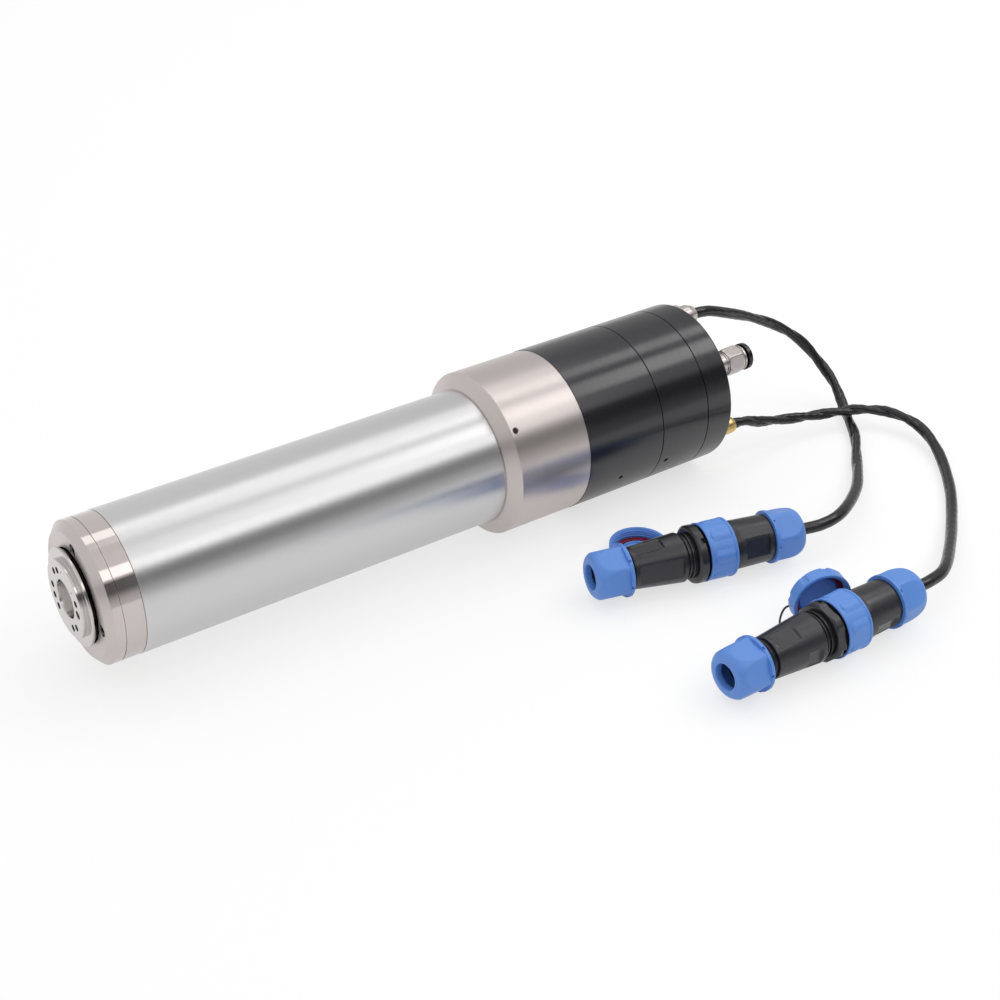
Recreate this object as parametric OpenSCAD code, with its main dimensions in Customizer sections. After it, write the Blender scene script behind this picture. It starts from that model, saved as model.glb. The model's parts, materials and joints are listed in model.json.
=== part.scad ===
// Tool-change motor spindle with two corded in-line plugs.
// X runs along the spindle from the tool end to the rear, Z is up, and the
// origin is the centre of the tool taper's gauge circle. Lengths are in millimetres.

/* [Rotor nose] */
// Diameter of the taper's gauge circle
taper_mouth_d = 21; // [18:0.5:24]
// Length of the taper behind its gauge circle
taper_len = 26; // [20:1:30]
// How far the rotor's front face stands ahead of the gauge circle
face_lead = 1.8; // [1:0.1:2.4]
// Diameter of the rotor's front disc
nose_disc_d = 43.8; // [40:0.2:46]
// Thickness of the rotor's front disc
nose_disc_t = 2.6; // [2:0.1:4]
// Diameter of the rim on the rotor's sealing flange
nose_flange_d = 54.6; // [53:0.2:58]
// Thickness of that rim
nose_rim_t = 1.6; // [1:0.1:2.4]
// Thickness of the whole sealing flange
nose_flange_t = 7.2; // [6:0.1:9]
// Diameter of a balance hole
balance_hole_d = 4.2; // [2:0.1:4.6]
// Diameter of the drawbar
drawbar_d = 8.4; // [6:0.2:9]

/* [Body] */
// Diameter of the ground steel sleeve
body_d = 80; // [78:1:90]
// Wall of the sleeve
sleeve_wall = 4; // [3:0.5:5]
// Length of the bare sleeve
sleeve_len = 222; // [215:1:300]
// Length of the nose cap
cap_len = 9; // [7:0.5:14]
// Gap between the flange's rim and the cap's face
cap_setback = 2.1; // [1:0.1:3]
// Chamfer of the nose cap along the axis
cap_chamfer = 3.8; // [1:0.2:6]
// Length of the ring between the nose cap and the sleeve
front_ring_len = 11.5; // [8:0.5:20]
// Diameter of the rear collar
collar_d = 98; // [94:1:110]
// Length of the rear collar with its bevel
collar_len = 53.5; // [50:0.5:70]
// Length of the collar's bevel
bevel_len = 5.5; // [3:0.5:10]
// How far the black rear sections stand out beyond the collar
rear_step = 0.25; // [0:0.05:1]
// Length of the air cylinder section
cylinder_len = 54; // [50:0.5:80]
// Length of the sensor section
sensor_len = 34.5; // [30:0.5:60]
// Length of the rear cap
rear_cap_len = 18.5; // [14:0.5:30]
// How far the rear ports stand inside the rear edge
port_inset = 10.25; // [9.5:0.25:12]

/* [Bearings and motor] */
// Bore of the front bearings
front_brg_id = 35; // [33:1:37]
// Outer diameter of the front bearings
front_brg_od = 62; // [60:1:64]
// Width of one front bearing
front_brg_w = 14; // [12:1:16]
// Bore of the rear bearings
rear_brg_id = 25; // [24:1:26]
// Outer diameter of the rear bearings
rear_brg_od = 47; // [45:1:49]
// Width of one rear bearing
rear_brg_w = 12; // [11:1:13]
// Length of the stator's core
stator_len = 96; // [60:1:110]
// Bore of the stator
stator_bore = 56; // [54:1:58]
// Air gap between rotor and stator
air_gap = 0.5; // [0.4:0.1:1]

/* [Tool release] */
// Bore of the air cylinder
piston_d = 76; // [72:1:80]
// Thickness of the piston
piston_t = 8; // [6:0.5:12]
// Diameter of the piston's pusher
pusher_d = 20; // [16:1:24]
// Travel of the piston
piston_stroke = 6; // [4:0.5:8]
// Travel that is left before the pusher meets the drawbar
pusher_gap = 1; // [0.5:0.1:2]

/* [Ports] */
// Outer diameter of the air hose
hose_d = 10; // [8:1:10]
// Width across the flats of the air fitting
fitting_af = 15.4; // [15:0.1:18]
// Diameter of the fitting's release ring
release_ring_d = 16.4; // [14:0.1:18]
// Travel of the release ring
release_travel = 1; // [0.5:0.1:1.2]
// Diameter of both cables
cable_d = 7; // [5:0.5:7.5]

/* [Plugs] */
// Diameter over the lobes of a coupling ring
coupling_d = 35; // [34:0.5:38]
// Length of a coupling ring
coupling_len = 19.5; // [17:0.5:24]
// Diameter over the flange of a gland nut
gland_nut_d = 31; // [29:0.5:33]
// Length of a gland nut
gland_nut_len = 21; // [18:0.5:26]
// Diameter of a gland nut's cable hole
gland_hole_d = 14.5; // [11:0.5:16]
// Diameter of the free seal's cable hole
seal_bore_d = 10; // [8:0.5:11]
// Height of a dust cap
dust_cap_h = 9; // [8:0.5:14]
// Wall of a dust cap
dust_cap_wall = 2; // [1.5:0.1:2.5]
// Distance from the tightened free nut of the first plug to its barrel
nut_gap_a = 2; // [1:0.5:3]
// Distance from the loosened free nut of the second plug to its barrel
nut_gap_b = 6.5; // [1:0.5:7]

/* [Hidden] */
$fn = 72;

// Clearances: running for turning and sliding pairs, open for air gaps.
RUN = 0.05;
OPEN = 0.4;
SEAL_GAP = 0.8;
EPS = 0.01;

// Stations along the axis.
x_face = -face_lead;
x_flange = x_face + nose_disc_t;
x_rim_end = x_flange + nose_rim_t;
x_flange_end = x_flange + nose_flange_t;
x_cap = x_rim_end + cap_setback;
x_cap_end = x_cap + cap_len;
x_ring_end = x_cap_end + front_ring_len;
x_sleeve_end = x_ring_end + sleeve_len;
x_collar_end = x_sleeve_end + collar_len;
x_cylinder_end = x_collar_end + cylinder_len;
x_sensor_end = x_cylinder_end + sensor_len;
x_rear = x_sensor_end + rear_cap_len;

// Radii that several pieces share.
body_r = body_d / 2;
nose_r = body_r - 0.2;
bore_r = body_r - sleeve_wall;
collar_r = collar_d / 2;
rear_r = collar_r + rear_step;
port_r = rear_r - port_inset;
seat_r = body_r - 0.5;
table_z = -rear_r;
neck_r = nose_disc_d / 2;
rim_r = nose_flange_d / 2;
land_r = rim_r - 1.6;
web_x = x_flange_end + SEAL_GAP;

// Nose cap and its four screws.
cap_bore_r = land_r + SEAL_GAP;
cap_face_r = nose_r - 4.5;
cap_screw_r = (cap_bore_r + cap_face_r) / 2 - 0.4;
cap_screw_head_r = 3.3;
cap_screw_head_t = 3;
cap_screw_shank_r = 2;
cap_screw_len = 14;
CAP_SCREW_ANGLES = [for (k = [0:3]) 98 + 90 * k];

// Open balance holes in the rotor's face, on a circle of sixteen places.
BALANCE_ANGLES = [for (k = [-6, -5, -2, -1, 0, 2, 3, 7, 8]) 2 + 22.5 * k];
balance_circle_r = (neck_r + taper_mouth_d / 2) / 2 - 0.2;
balance_depth = 2.2;

// Bearings.
x_front_brg = x_ring_end + 1;
x_front_brg_end = x_front_brg + 2 * front_brg_w;
x_rear_brg_end = x_sleeve_end + 1;
x_rear_brg = x_rear_brg_end - 2 * rear_brg_w;
BALL_GAP = 0.3;
front_ball_r = (front_brg_od - front_brg_id) / 4 * 0.62;
rear_ball_r = (rear_brg_od - rear_brg_id) / 4 * 0.62;

// Rear bearing housing and cover.
seat_len = 6;
x_rear_housing = x_rear_brg - 9;
x_rear_housing_end = x_sleeve_end + seat_len;
cover_t = 5;
x_cover_end = x_rear_housing_end + cover_t;
tail_r = rear_brg_id / 2;
cover_bore_r = tail_r + 3;

// Sensor ring on the shaft's tail.
sensor_ring_r = 22;
sensor_ring_t = 6;
sensor_teeth = 16;
x_sensor_ring = x_cover_end + 4;
x_shaft_end = x_sensor_ring + sensor_ring_t;

// Preload nut.
nut_len = 8;
nut_r = front_brg_id / 2 + 6.5;

// Stator and windings.
end_turn_len = 14;
x_stator = (x_front_brg_end + nut_len + x_rear_housing - stator_len) / 2;
x_stator_end = x_stator + stator_len;
stator_slots = 12;
slot_w = 4;

// Rotor shaft inside.
taper_end_r = taper_mouth_d / 2 - taper_len * 3.5 / 24;
mouth_r = taper_mouth_d / 2 + (face_lead - 0.4) * 3.5 / 24;
gripper_room_r = taper_end_r + 0.5;
gripper_room_len = 20;
drawbar_r = drawbar_d / 2;
spring_room_r = 8.4;
disc_count = 32;
disc_pitch = 2;
disc_t = 1.2;
tail_step_len = 12;
spring_len = disc_count * disc_pitch;
drawbar_nut_len = 8;
x_drawbar_nut = x_rear_brg - tail_step_len - 8 - drawbar_nut_len;
x_spring = x_drawbar_nut - spring_len;
x_drawbar_end = x_shaft_end + piston_stroke + 2;
drawbar_tail_r = 6;

// Gripper that pulls the tool in.
gripper_r = gripper_room_r - 1;
x_gripper = taper_len - 7;
gripper_len = 25;

// Air cylinder.
piston_r = piston_d / 2;
pusher_r = pusher_d / 2;
x_pusher = x_drawbar_end + pusher_gap;
partition_t = 14.5;
x_partition = x_collar_end - partition_t;
cylinder_floor_t = 12.5;
x_cylinder_floor = x_cylinder_end - cylinder_floor_t;
x_piston_end = x_cylinder_floor - 1;
x_piston = x_piston_end - piston_t;
groove_len = 2;
groove_r = max(piston_r + 1, port_r + 2.5);
tail_rod_r = 6;
sensor_floor_t = 3.5;
x_sensor_floor = x_cylinder_end + sensor_floor_t;
sensor_room_r = port_r - 5;
x_target = x_sensor_floor + 8;
target_t = 5;
target_r = 12;
x_tail_rod_end = x_target + target_t;
piston_seal_r = 1.6;
spring_wire_r = 1.25;
return_spring_r = pusher_r + 4;
return_turns = 6;

// Ports on the rear face: first cable, air, second cable.
angle_a = 75;
angle_air = 142.5;
angle_b = 213;
rear_wall = 6.5;
x_rear_wall = x_rear - rear_wall;
passage_r = 2;
fitting_thread_r = 6;
gland_thread_r = 5;
REAR_SCREW_ANGLES = [110, 230, 350];
rear_screw_circle_r = rear_r - 5.2;
rear_screw_r = 2;
rear_screw_head_r = 3.5;
rear_screw_head_t = 4;
rear_screw_len = 60;

// Small radial holes: angle about the axis, counted from +Y to +Z.
collar_hole_x = x_sleeve_end + 8.7;
collar_hole_angle = 139;
collar_hole_r = 1.65;
vent_angle = 203;
vent_r = 1.4;
cylinder_vent_x = x_collar_end + 0.476 * cylinder_len;
sensor_vent_x = x_cylinder_end + 0.177 * sensor_len;

// Air fitting, measured from the rear face.
fitting_neck_len = 6.5;
fitting_hex_len = 11.5;
fitting_lip_len = 2;
fitting_lip_r = fitting_af / 2;
x_fitting_hex = x_rear + fitting_neck_len;
x_fitting_lip = x_fitting_hex + fitting_hex_len;
x_fitting_end = x_fitting_lip + fitting_lip_len;
x_release_ring = x_fitting_end + release_travel + 0.3;
release_flange_t = 3.2;
hose_r = hose_d / 2 + 0.05;
x_hose_stop = x_fitting_hex - 1;
x_collet = x_fitting_hex + 8;
collet_len = 3;
fitting_room_r = 6.7;

// Glands.
gland_len = 16.5;
gland_end_r = cable_d / 2 + 1.1;

// Plug pairs: place and heading of each barrel's free end on the table.
plug_z = table_z + coupling_d / 2;
PLUG_A = [282, -108.5];
PLUG_B = [290, -213.3];
heading_a = -13.3;
heading_b = 0;
barrel_len = 28;
rib_len = 8;
flange_len = 6.5;
shell_gap = 2;
plug_barrel_len = 23;
barrel_r = 12;
barrel_end_r = 14.3;
flange_r = 17;
flange_af = 30.5;
shell_r = 14.2;
shell_bore_r = 11;
s_flange = barrel_len + rib_len;
s_ring = s_flange + flange_len + shell_gap;
s_ring_end = s_ring + coupling_len;
s_nut = s_ring_end + plug_barrel_len;
s_plug_end = s_nut + gland_nut_len;
gland_nut_r = gland_nut_d / 2;
gland_nut_af = gland_nut_d - 3.4;
lip_r = gland_hole_d / 2 + 1.4;
thread_r = 11;
thread_len = 14;
wire_room_r = 6.5;
wire_room_len = 20;
seal_flange_t = 2.5;
seal_body_len = 6;
pin_r = 1;
pin_circle_r = 5;
pin_len = 22;
PIN_ANGLES = [for (k = [0:3]) 45 + 90 * k];
lobes = 8;

// Dust caps: one lies open side up, one stands on its wall behind the second plug.
dust_cap_r = coupling_d / 2 - 0.3;
CAP_A_PLACE = [311.6, -82, table_z];
CAP_B_PLACE = [352.8, -184.9, table_z + dust_cap_r];
CAP_B_TURN = [90, 0, -17.5];
gasket_t = 1.5;
lanyard_d = 1.2;
LANYARD = [
    [334.9, -183.3, -34.5], [333.3, -182.5, -35.4], [331.9, -182, -37.6], [330.6, -182, -41], [329.8, -182.8, -45],
    [329.2, -186.5, -48.2], [328.9, -191, -48.4], [328.8, -195.5, -46.6], [329, -198.4, -42]
];

// Cable routes after the gland and before the plug.
ROUTE_A = [
    [436, 10, 36.2], [450, 10.5, 31], [476, 13.5, 19], [500, 13.5, 6], [517, 8, -7],
    [526, -2, -20.5], [529.5, -15.5, -33], [525, -31, -43], [518, -44, -45.5], [508, -59, -45.6],
    [488, -81, -45], [457, -111.5, -38.5], [424, -133, -32.5], [403, -137.2, -31.8]
];
ROUTE_B = [
    [436, -32.8, -23], [448, -32.5, -27.5], [470, -31.8, -33.5], [491, -33.8, -37], [509, -38.5, -37.8],
    [518, -42, -37.6], [527, -47, -37.6], [537, -57, -37.8], [543, -71, -39], [543, -85, -41],
    [537, -102, -43.6], [525, -121, -45.6], [507, -142.5, -45.6], [484, -164.5, -44.5],
    [457, -187.5, -39.5], [430, -207.5, -33.5], [413, -213, -31.8]
];
cable_sides = 10;
cable_steps = 2;

// A profile of [radius, x] points turned about the X axis.
module turned(profile) {
    rotate([0, 90, 0]) rotate_extrude() polygon(profile);
}

// Children that are drawn in the [radius, x] plane, turned about the X axis.
module turned_shape() {
    rotate([0, 90, 0]) rotate_extrude() children();
}

// A plain tube or disc along X.
module ring(x0, x1, outer, inner = 0) {
    turned([[inner, x0], [outer, x0], [outer, x1], [inner, x1]]);
}

// A cylinder along X that stands off the axis at a radius and an angle.
module pin_at(x0, x1, off, angle, r) {
    translate([x0, off * cos(angle), off * sin(angle)]) rotate([0, 90, 0]) cylinder(h = x1 - x0, r = r);
}

// A hexagon along X, given by its width across the flats.
module hex_at(x0, x1, off, angle, af, roll = 0) {
    translate([x0, off * cos(angle), off * sin(angle)])
        rotate([roll, 0, 0]) rotate([0, 90, 0]) cylinder(h = x1 - x0, r = af / sqrt(3), $fn = 6);
}

// A radial cylinder from the inner to the outer radius.
module radial_at(x, angle, r_in, r_out, r) {
    translate([x, 0, 0]) rotate([angle - 90, 0, 0]) translate([0, 0, r_in]) cylinder(h = r_out - r_in, r = r);
}

// Points of a smooth curve through a list of points, with the first and last repeated as ends.
function curve_point(a, b, c, d, t) =
    0.5 * (2 * b + (c - a) * t + (2 * a - 5 * b + 4 * c - d) * t * t + (3 * b - a - 3 * c + d) * t * t * t);
function smooth(route, steps) = let (n = len(route)) concat(
    [for (i = [0:n - 2], k = [0:steps - 1])
        curve_point(route[max(i - 1, 0)], route[i], route[i + 1], route[min(i + 2, n - 1)], k / steps)],
    [route[n - 1]]
);
function unit(v) = v / norm(v);
function heading_at(path, i, first, last) =
    i == 0 ? first : i == len(path) - 1 ? last : unit(path[i + 1] - path[i - 1]);

// A round tube swept along a path; its end faces are square to the first and last directions.
module swept_tube(path, r, sides, first, last) {
    n = len(path);
    rings = [for (i = [0:n - 1])
        let (t = heading_at(path, i, first, last), side = unit(cross(t, [0, 0, 1])), top = cross(side, t))
        for (k = [0:sides - 1]) path[i] + r * (cos(360 * k / sides) * side + sin(360 * k / sides) * top)];
    walls = [for (i = [0:n - 2], k = [0:sides - 1])
        let (j = (k + 1) % sides) [i * sides + k, i * sides + j, (i + 1) * sides + j, (i + 1) * sides + k]];
    start_face = [for (k = [0:sides - 1]) sides - 1 - k];
    end_face = [for (k = [0:sides - 1]) (n - 1) * sides + k];
    polyhedron(points = rings, faces = concat([start_face], walls, [end_face]), convexity = 6);
}

// Bearing ring of a pair: a square section with a ball groove in each bearing.
module groove_rings(x0, width, r_in, r_out, ball_circle, ball_r) {
    turned_shape() for (k = [0:1]) difference() {
        translate([r_in, x0 + k * width]) square([r_out - r_in, width]);
        translate([ball_circle, x0 + (k + 0.5) * width]) circle(r = ball_r + BALL_GAP);
    }
}

// The balls of a bearing pair, each in a pocket of its cage.
module ball_sets(x0, width, ball_circle, ball_r, count, cage_t) {
    pocket_r = ball_r + 0.2;
    for (k = [0:1]) {
        x_mid = x0 + (k + 0.5) * width;
        difference() {
            ring(x_mid - 0.38 * width, x_mid + 0.38 * width, ball_circle + cage_t / 2, ball_circle - cage_t / 2);
            for (i = [0:count - 1])
                radial_at(x_mid, i * 360 / count, ball_circle - cage_t, ball_circle + cage_t, pocket_r);
        }
        for (i = [0:count - 1]) rotate([i * 360 / count, 0, 0])
            translate([x_mid, ball_circle, 0]) sphere(r = ball_r);
    }
}

// Rotor.

module shaft_outline() {
    polygon([
        [mouth_r + 0.4, x_face], [neck_r - 0.3, x_face], [neck_r, x_face + 0.3], [neck_r, x_flange],
        [rim_r - 0.4, x_flange], [rim_r, x_flange + 0.4], [rim_r, x_rim_end], [land_r, x_rim_end],
        [land_r, x_flange_end], [neck_r, x_flange_end], [neck_r, x_front_brg],
        [front_brg_id / 2, x_front_brg], [front_brg_id / 2, x_front_brg_end + nut_len],
        [front_brg_id / 2 - 1, x_front_brg_end + nut_len], [front_brg_id / 2 - 1, x_rear_brg - tail_step_len],
        [tail_r + 1.2, x_rear_brg - tail_step_len], [tail_r + 1.2, x_rear_brg],
        [tail_r, x_rear_brg], [tail_r, x_rear_brg_end], [tail_r - 0.8, x_rear_brg_end],
        [tail_r - 0.8, x_shaft_end],
        [spring_room_r, x_shaft_end], [spring_room_r, x_spring],
        [drawbar_r + OPEN, x_spring], [drawbar_r + OPEN, taper_len + gripper_room_len],
        [gripper_room_r, taper_len + gripper_room_len], [gripper_room_r, taper_len],
        [taper_end_r, taper_len], [mouth_r, x_face + 0.4]
    ]);
}

module spindle_shaft() {
    color([0.78, 0.74, 0.72]) difference() {
        turned_shape() shaft_outline();
        for (a = BALANCE_ANGLES)
            pin_at(x_face - EPS, x_face + balance_depth, balance_circle_r, a, balance_hole_d / 2);
    }
}

module rotor_core() {
    color([0.45, 0.45, 0.47]) ring(x_stator + 1, x_stator_end - 1, stator_bore / 2 - air_gap, front_brg_id / 2 - 1);
}

module front_inner_rings() {
    color([0.8, 0.8, 0.82])
        groove_rings(x_front_brg, front_brg_w, front_brg_id / 2, front_brg_id / 2 + 3.7,
            (front_brg_id + front_brg_od) / 4, front_ball_r);
}

module rear_inner_rings() {
    color([0.8, 0.8, 0.82])
        groove_rings(x_rear_brg, rear_brg_w, tail_r, tail_r + 2.9, (rear_brg_id + rear_brg_od) / 4, rear_ball_r);
}

module preload_nut() {
    color([0.35, 0.35, 0.37]) difference() {
        ring(x_front_brg_end, x_front_brg_end + nut_len, nut_r, front_brg_id / 2);
        for (k = [0:3]) radial_at(x_front_brg_end + nut_len / 2, 90 * k, nut_r - 2.5, nut_r + 1, 2);
    }
}

module sensor_ring() {
    hub_r = tail_r + 1.6;
    color([0.5, 0.5, 0.52]) difference() {
        union() {
            ring(x_rear_brg_end, x_sensor_ring + EPS, hub_r, tail_r - 0.8);
            ring(x_sensor_ring, x_shaft_end, sensor_ring_r, tail_r - 0.8);
        }
        for (k = [0:sensor_teeth - 1])
            radial_at(x_sensor_ring + sensor_ring_t / 2, k * 360 / sensor_teeth, sensor_ring_r - 2, sensor_ring_r + 1, 1.6);
    }
}

module disc_springs() {
    r_in = drawbar_r + 0.5;
    r_out = spring_room_r - 0.4;
    rise = disc_pitch - disc_t - 0.1;
    color([0.55, 0.55, 0.57]) for (k = [0:disc_count - 1]) {
        x0 = x_spring + k * disc_pitch + 0.05;
        inner_up = k % 2 == 0 ? rise : 0;
        outer_up = rise - inner_up;
        turned([[r_in, x0 + inner_up], [r_out, x0 + outer_up], [r_out, x0 + outer_up + disc_t],
            [r_in, x0 + inner_up + disc_t]]);
    }
}

module front_ball_sets() {
    color([0.85, 0.85, 0.87])
        ball_sets(x_front_brg, front_brg_w, (front_brg_id + front_brg_od) / 4, front_ball_r, 14, 2.6);
}

module rear_ball_sets() {
    color([0.85, 0.85, 0.87])
        ball_sets(x_rear_brg, rear_brg_w, (rear_brg_id + rear_brg_od) / 4, rear_ball_r, 13, 2.2);
}

// Drawbar and gripper.

module drawbar() {
    color([0.6, 0.6, 0.62]) turned([
        [0, x_gripper + gripper_len], [drawbar_r, x_gripper + gripper_len], [drawbar_r, x_drawbar_nut],
        [spring_room_r - 0.3, x_drawbar_nut], [spring_room_r - 0.3, x_drawbar_nut + drawbar_nut_len],
        [drawbar_tail_r, x_drawbar_nut + drawbar_nut_len], [drawbar_tail_r, x_drawbar_end], [0, x_drawbar_end]
    ]);
}

module gripper() {
    hole_r = gripper_r - 2.2;
    slot_len = gripper_len * 0.7;
    color([0.5, 0.5, 0.5]) difference() {
        turned([
            [hole_r, x_gripper], [gripper_r - 0.5, x_gripper], [gripper_r, x_gripper + 0.6],
            [gripper_r, x_gripper + 5], [gripper_r - 0.9, x_gripper + 7],
            [gripper_r - 0.9, x_gripper + gripper_len], [0, x_gripper + gripper_len],
            [0, x_gripper + gripper_len - 5], [hole_r - 0.4, x_gripper + gripper_len - 5], [hole_r - 0.4, x_gripper + 6],
            [hole_r, x_gripper + 5]
        ]);
        for (k = [0:1]) rotate([90 * k + 20, 0, 0])
            translate([x_gripper - 1, -gripper_r - 1, -0.8]) cube([slot_len + 1, 2 * gripper_r + 2, 1.6]);
    }
}

// Front of the housing.

module nose_cap() {
    color([0.8, 0.74, 0.71]) difference() {
        turned([
            [cap_bore_r, x_cap], [cap_face_r, x_cap], [nose_r, x_cap + cap_chamfer], [nose_r, x_cap_end],
            [front_brg_od / 2, x_cap_end], [front_brg_od / 2, x_front_brg], [neck_r + SEAL_GAP, x_front_brg],
            [neck_r + SEAL_GAP, web_x], [cap_bore_r, web_x]
        ]);
        for (a = CAP_SCREW_ANGLES) {
            pin_at(x_cap - EPS, x_cap + cap_screw_head_t + 0.5, cap_screw_r, a, cap_screw_head_r + 0.2);
            pin_at(x_cap, x_front_brg, cap_screw_r, a, cap_screw_shank_r);
        }
    }
}

module cap_screws() {
    x_head = x_cap + 0.5;
    color([0.4, 0.4, 0.42]) for (a = CAP_SCREW_ANGLES) difference() {
        union() {
            pin_at(x_head, x_head + cap_screw_head_t, cap_screw_r, a, cap_screw_head_r);
            pin_at(x_head + cap_screw_head_t - EPS, x_head + cap_screw_len, cap_screw_r, a, cap_screw_shank_r);
        }
        hex_at(x_head - EPS, x_head + 1.4, cap_screw_r, a, 2.5);
    }
}

module front_bearing_housing() {
    x_shoulder = x_front_brg_end;
    x_spigot_end = x_shoulder + nut_len + 2;
    color([0.8, 0.74, 0.71]) difference() {
        turned([
            [front_brg_od / 2, x_cap_end], [nose_r, x_cap_end], [nose_r, x_ring_end], [bore_r, x_ring_end],
            [bore_r, x_spigot_end], [front_brg_od / 2 - 3, x_spigot_end], [front_brg_od / 2 - 3, x_shoulder],
            [front_brg_od / 2, x_shoulder]
        ]);
        for (a = CAP_SCREW_ANGLES)
            pin_at(x_cap_end - EPS, x_cap + cap_screw_len + 2, cap_screw_r, a, cap_screw_shank_r);
    }
}

module front_outer_rings() {
    color([0.8, 0.8, 0.82])
        groove_rings(x_front_brg, front_brg_w, front_brg_od / 2 - 3.7, front_brg_od / 2,
            (front_brg_id + front_brg_od) / 4, front_ball_r);
}

module body_sleeve() {
    color([0.83, 0.83, 0.84]) turned([
        [bore_r, x_ring_end], [body_r, x_ring_end], [body_r, x_sleeve_end], [seat_r, x_sleeve_end],
        [seat_r, x_rear_housing_end], [bore_r, x_rear_housing_end]
    ]);
}

// Motor.

module winding_slots(r_in, r_out, w) {
    for (k = [0:stator_slots - 1]) rotate(k * 360 / stator_slots)
        translate([r_in, -w / 2]) square([r_out - r_in, w]);
}

module stator_core() {
    color([0.5, 0.5, 0.52]) translate([x_stator, 0, 0]) rotate([0, 90, 0])
        linear_extrude(stator_len) difference() {
            circle(r = bore_r);
            circle(r = stator_bore / 2);
            winding_slots(stator_bore / 2 + 1, bore_r - 2, slot_w);
        }
}

module stator_windings() {
    bundle_in = stator_bore / 2 + 1;
    bundle_out = bore_r - 1;
    color([0.72, 0.4, 0.2]) {
        for (x0 = [x_stator - end_turn_len, x_stator_end]) ring(x0, x0 + end_turn_len, bundle_out, bundle_in);
        translate([x_stator - EPS, 0, 0]) rotate([0, 90, 0]) linear_extrude(stator_len + 2 * EPS)
            winding_slots(stator_bore / 2 + 1, bore_r - 2, slot_w);
    }
}

// Rear bearing carrier.

module rear_bearing_housing() {
    color([0.7, 0.7, 0.72]) turned([
        [tail_r + 2.2, x_rear_housing], [bore_r, x_rear_housing], [bore_r, x_rear_housing_end],
        [rear_brg_od / 2, x_rear_housing_end], [rear_brg_od / 2, x_rear_brg], [tail_r + 2.2, x_rear_brg]
    ]);
}

module rear_outer_rings() {
    color([0.8, 0.8, 0.82])
        groove_rings(x_rear_brg, rear_brg_w, rear_brg_od / 2 - 2.9, rear_brg_od / 2,
            (rear_brg_id + rear_brg_od) / 4, rear_ball_r);
}

module rear_bearing_cover() {
    color([0.7, 0.7, 0.72]) turned([
        [cover_bore_r, x_rear_brg_end], [rear_brg_od / 2, x_rear_brg_end], [rear_brg_od / 2, x_rear_housing_end],
        [seat_r, x_rear_housing_end], [seat_r, x_cover_end], [cover_bore_r, x_cover_end]
    ]);
}

module collar() {
    room_r = body_r - 6;
    color([0.8, 0.74, 0.71]) difference() {
        turned([
            [seat_r, x_sleeve_end], [body_r + 1.2, x_sleeve_end], [collar_r, x_sleeve_end + bevel_len],
            [collar_r, x_collar_end], [pusher_r + RUN, x_collar_end], [pusher_r + RUN, x_partition],
            [room_r, x_partition], [room_r, x_cover_end], [seat_r, x_cover_end]
        ]);
        radial_at(collar_hole_x, collar_hole_angle, seat_r, collar_r + 1, collar_hole_r);
    }
}

// Air cylinder and piston.

module cylinder_housing() {
    color([0.13, 0.13, 0.14]) difference() {
        turned([
            [piston_r, x_collar_end], [rear_r - 0.3, x_collar_end], [rear_r, x_collar_end + 0.3],
            [rear_r, x_cylinder_end - 0.3], [rear_r - 0.3, x_cylinder_end], [tail_rod_r + RUN, x_cylinder_end],
            [tail_rod_r + RUN, x_cylinder_floor], [groove_r, x_cylinder_floor],
            [groove_r, x_cylinder_floor - groove_len], [piston_r, x_cylinder_floor - groove_len]
        ]);
        pin_at(x_cylinder_floor - 1, x_cylinder_end + 1, port_r, angle_air, passage_r);
        radial_at(cylinder_vent_x, vent_angle, piston_r - 1, rear_r + 1, vent_r);
        for (a = REAR_SCREW_ANGLES)
            pin_at(x_rear - rear_screw_head_t - rear_screw_len - 1, x_cylinder_end + 1,
                rear_screw_circle_r, a, rear_screw_r);
    }
}

module piston() {
    seal_room = 2 * piston_seal_r + 0.2;
    x_seal = (x_piston + x_piston_end - seal_room) / 2;
    color([0.7, 0.7, 0.72]) turned([
        [0, x_pusher], [pusher_r - 1, x_pusher], [pusher_r, x_pusher + 1], [pusher_r, x_piston],
        [piston_r - RUN, x_piston], [piston_r - RUN, x_seal], [piston_r - RUN - 2 * piston_seal_r - 0.05, x_seal],
        [piston_r - RUN - 2 * piston_seal_r - 0.05, x_seal + seal_room], [piston_r - RUN, x_seal + seal_room],
        [piston_r - RUN, x_piston_end], [tail_rod_r, x_piston_end], [tail_rod_r, x_target],
        [target_r, x_target], [target_r, x_tail_rod_end], [0, x_tail_rod_end]
    ]);
}

module piston_seal() {
    color([0.1, 0.1, 0.1]) turned_shape()
        translate([piston_r - RUN - 0.03 - piston_seal_r, (x_piston + x_piston_end) / 2]) circle(r = piston_seal_r);
}

module return_spring() {
    x0 = x_collar_end + spring_wire_r + 0.1;
    x1 = x_piston - spring_wire_r - 0.1;
    steps = return_turns * 16;
    path = [for (i = [0:steps]) let (a = i * 360 * return_turns / steps)
        [x0 + (x1 - x0) * i / steps, return_spring_r * cos(a), return_spring_r * sin(a)]];
    sides = 6;
    color([0.6, 0.6, 0.62]) swept_coil(path, spring_wire_r, sides);
}

// A coil about X: each ring of the wire lies in the plane that holds the X axis.
module swept_coil(path, r, sides) {
    n = len(path);
    rings = [for (p = path) let (out = unit([0, p[1], p[2]]))
        for (k = [0:sides - 1]) p + r * (cos(360 * k / sides) * out + [sin(360 * k / sides), 0, 0])];
    walls = [for (i = [0:n - 2], k = [0:sides - 1])
        let (j = (k + 1) % sides) [i * sides + k, i * sides + j, (i + 1) * sides + j, (i + 1) * sides + k]];
    start_face = [for (k = [0:sides - 1]) sides - 1 - k];
    end_face = [for (k = [0:sides - 1]) (n - 1) * sides + k];
    polyhedron(points = rings, faces = concat([start_face], walls, [end_face]), convexity = 10);
}

// Sensor section.

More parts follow.
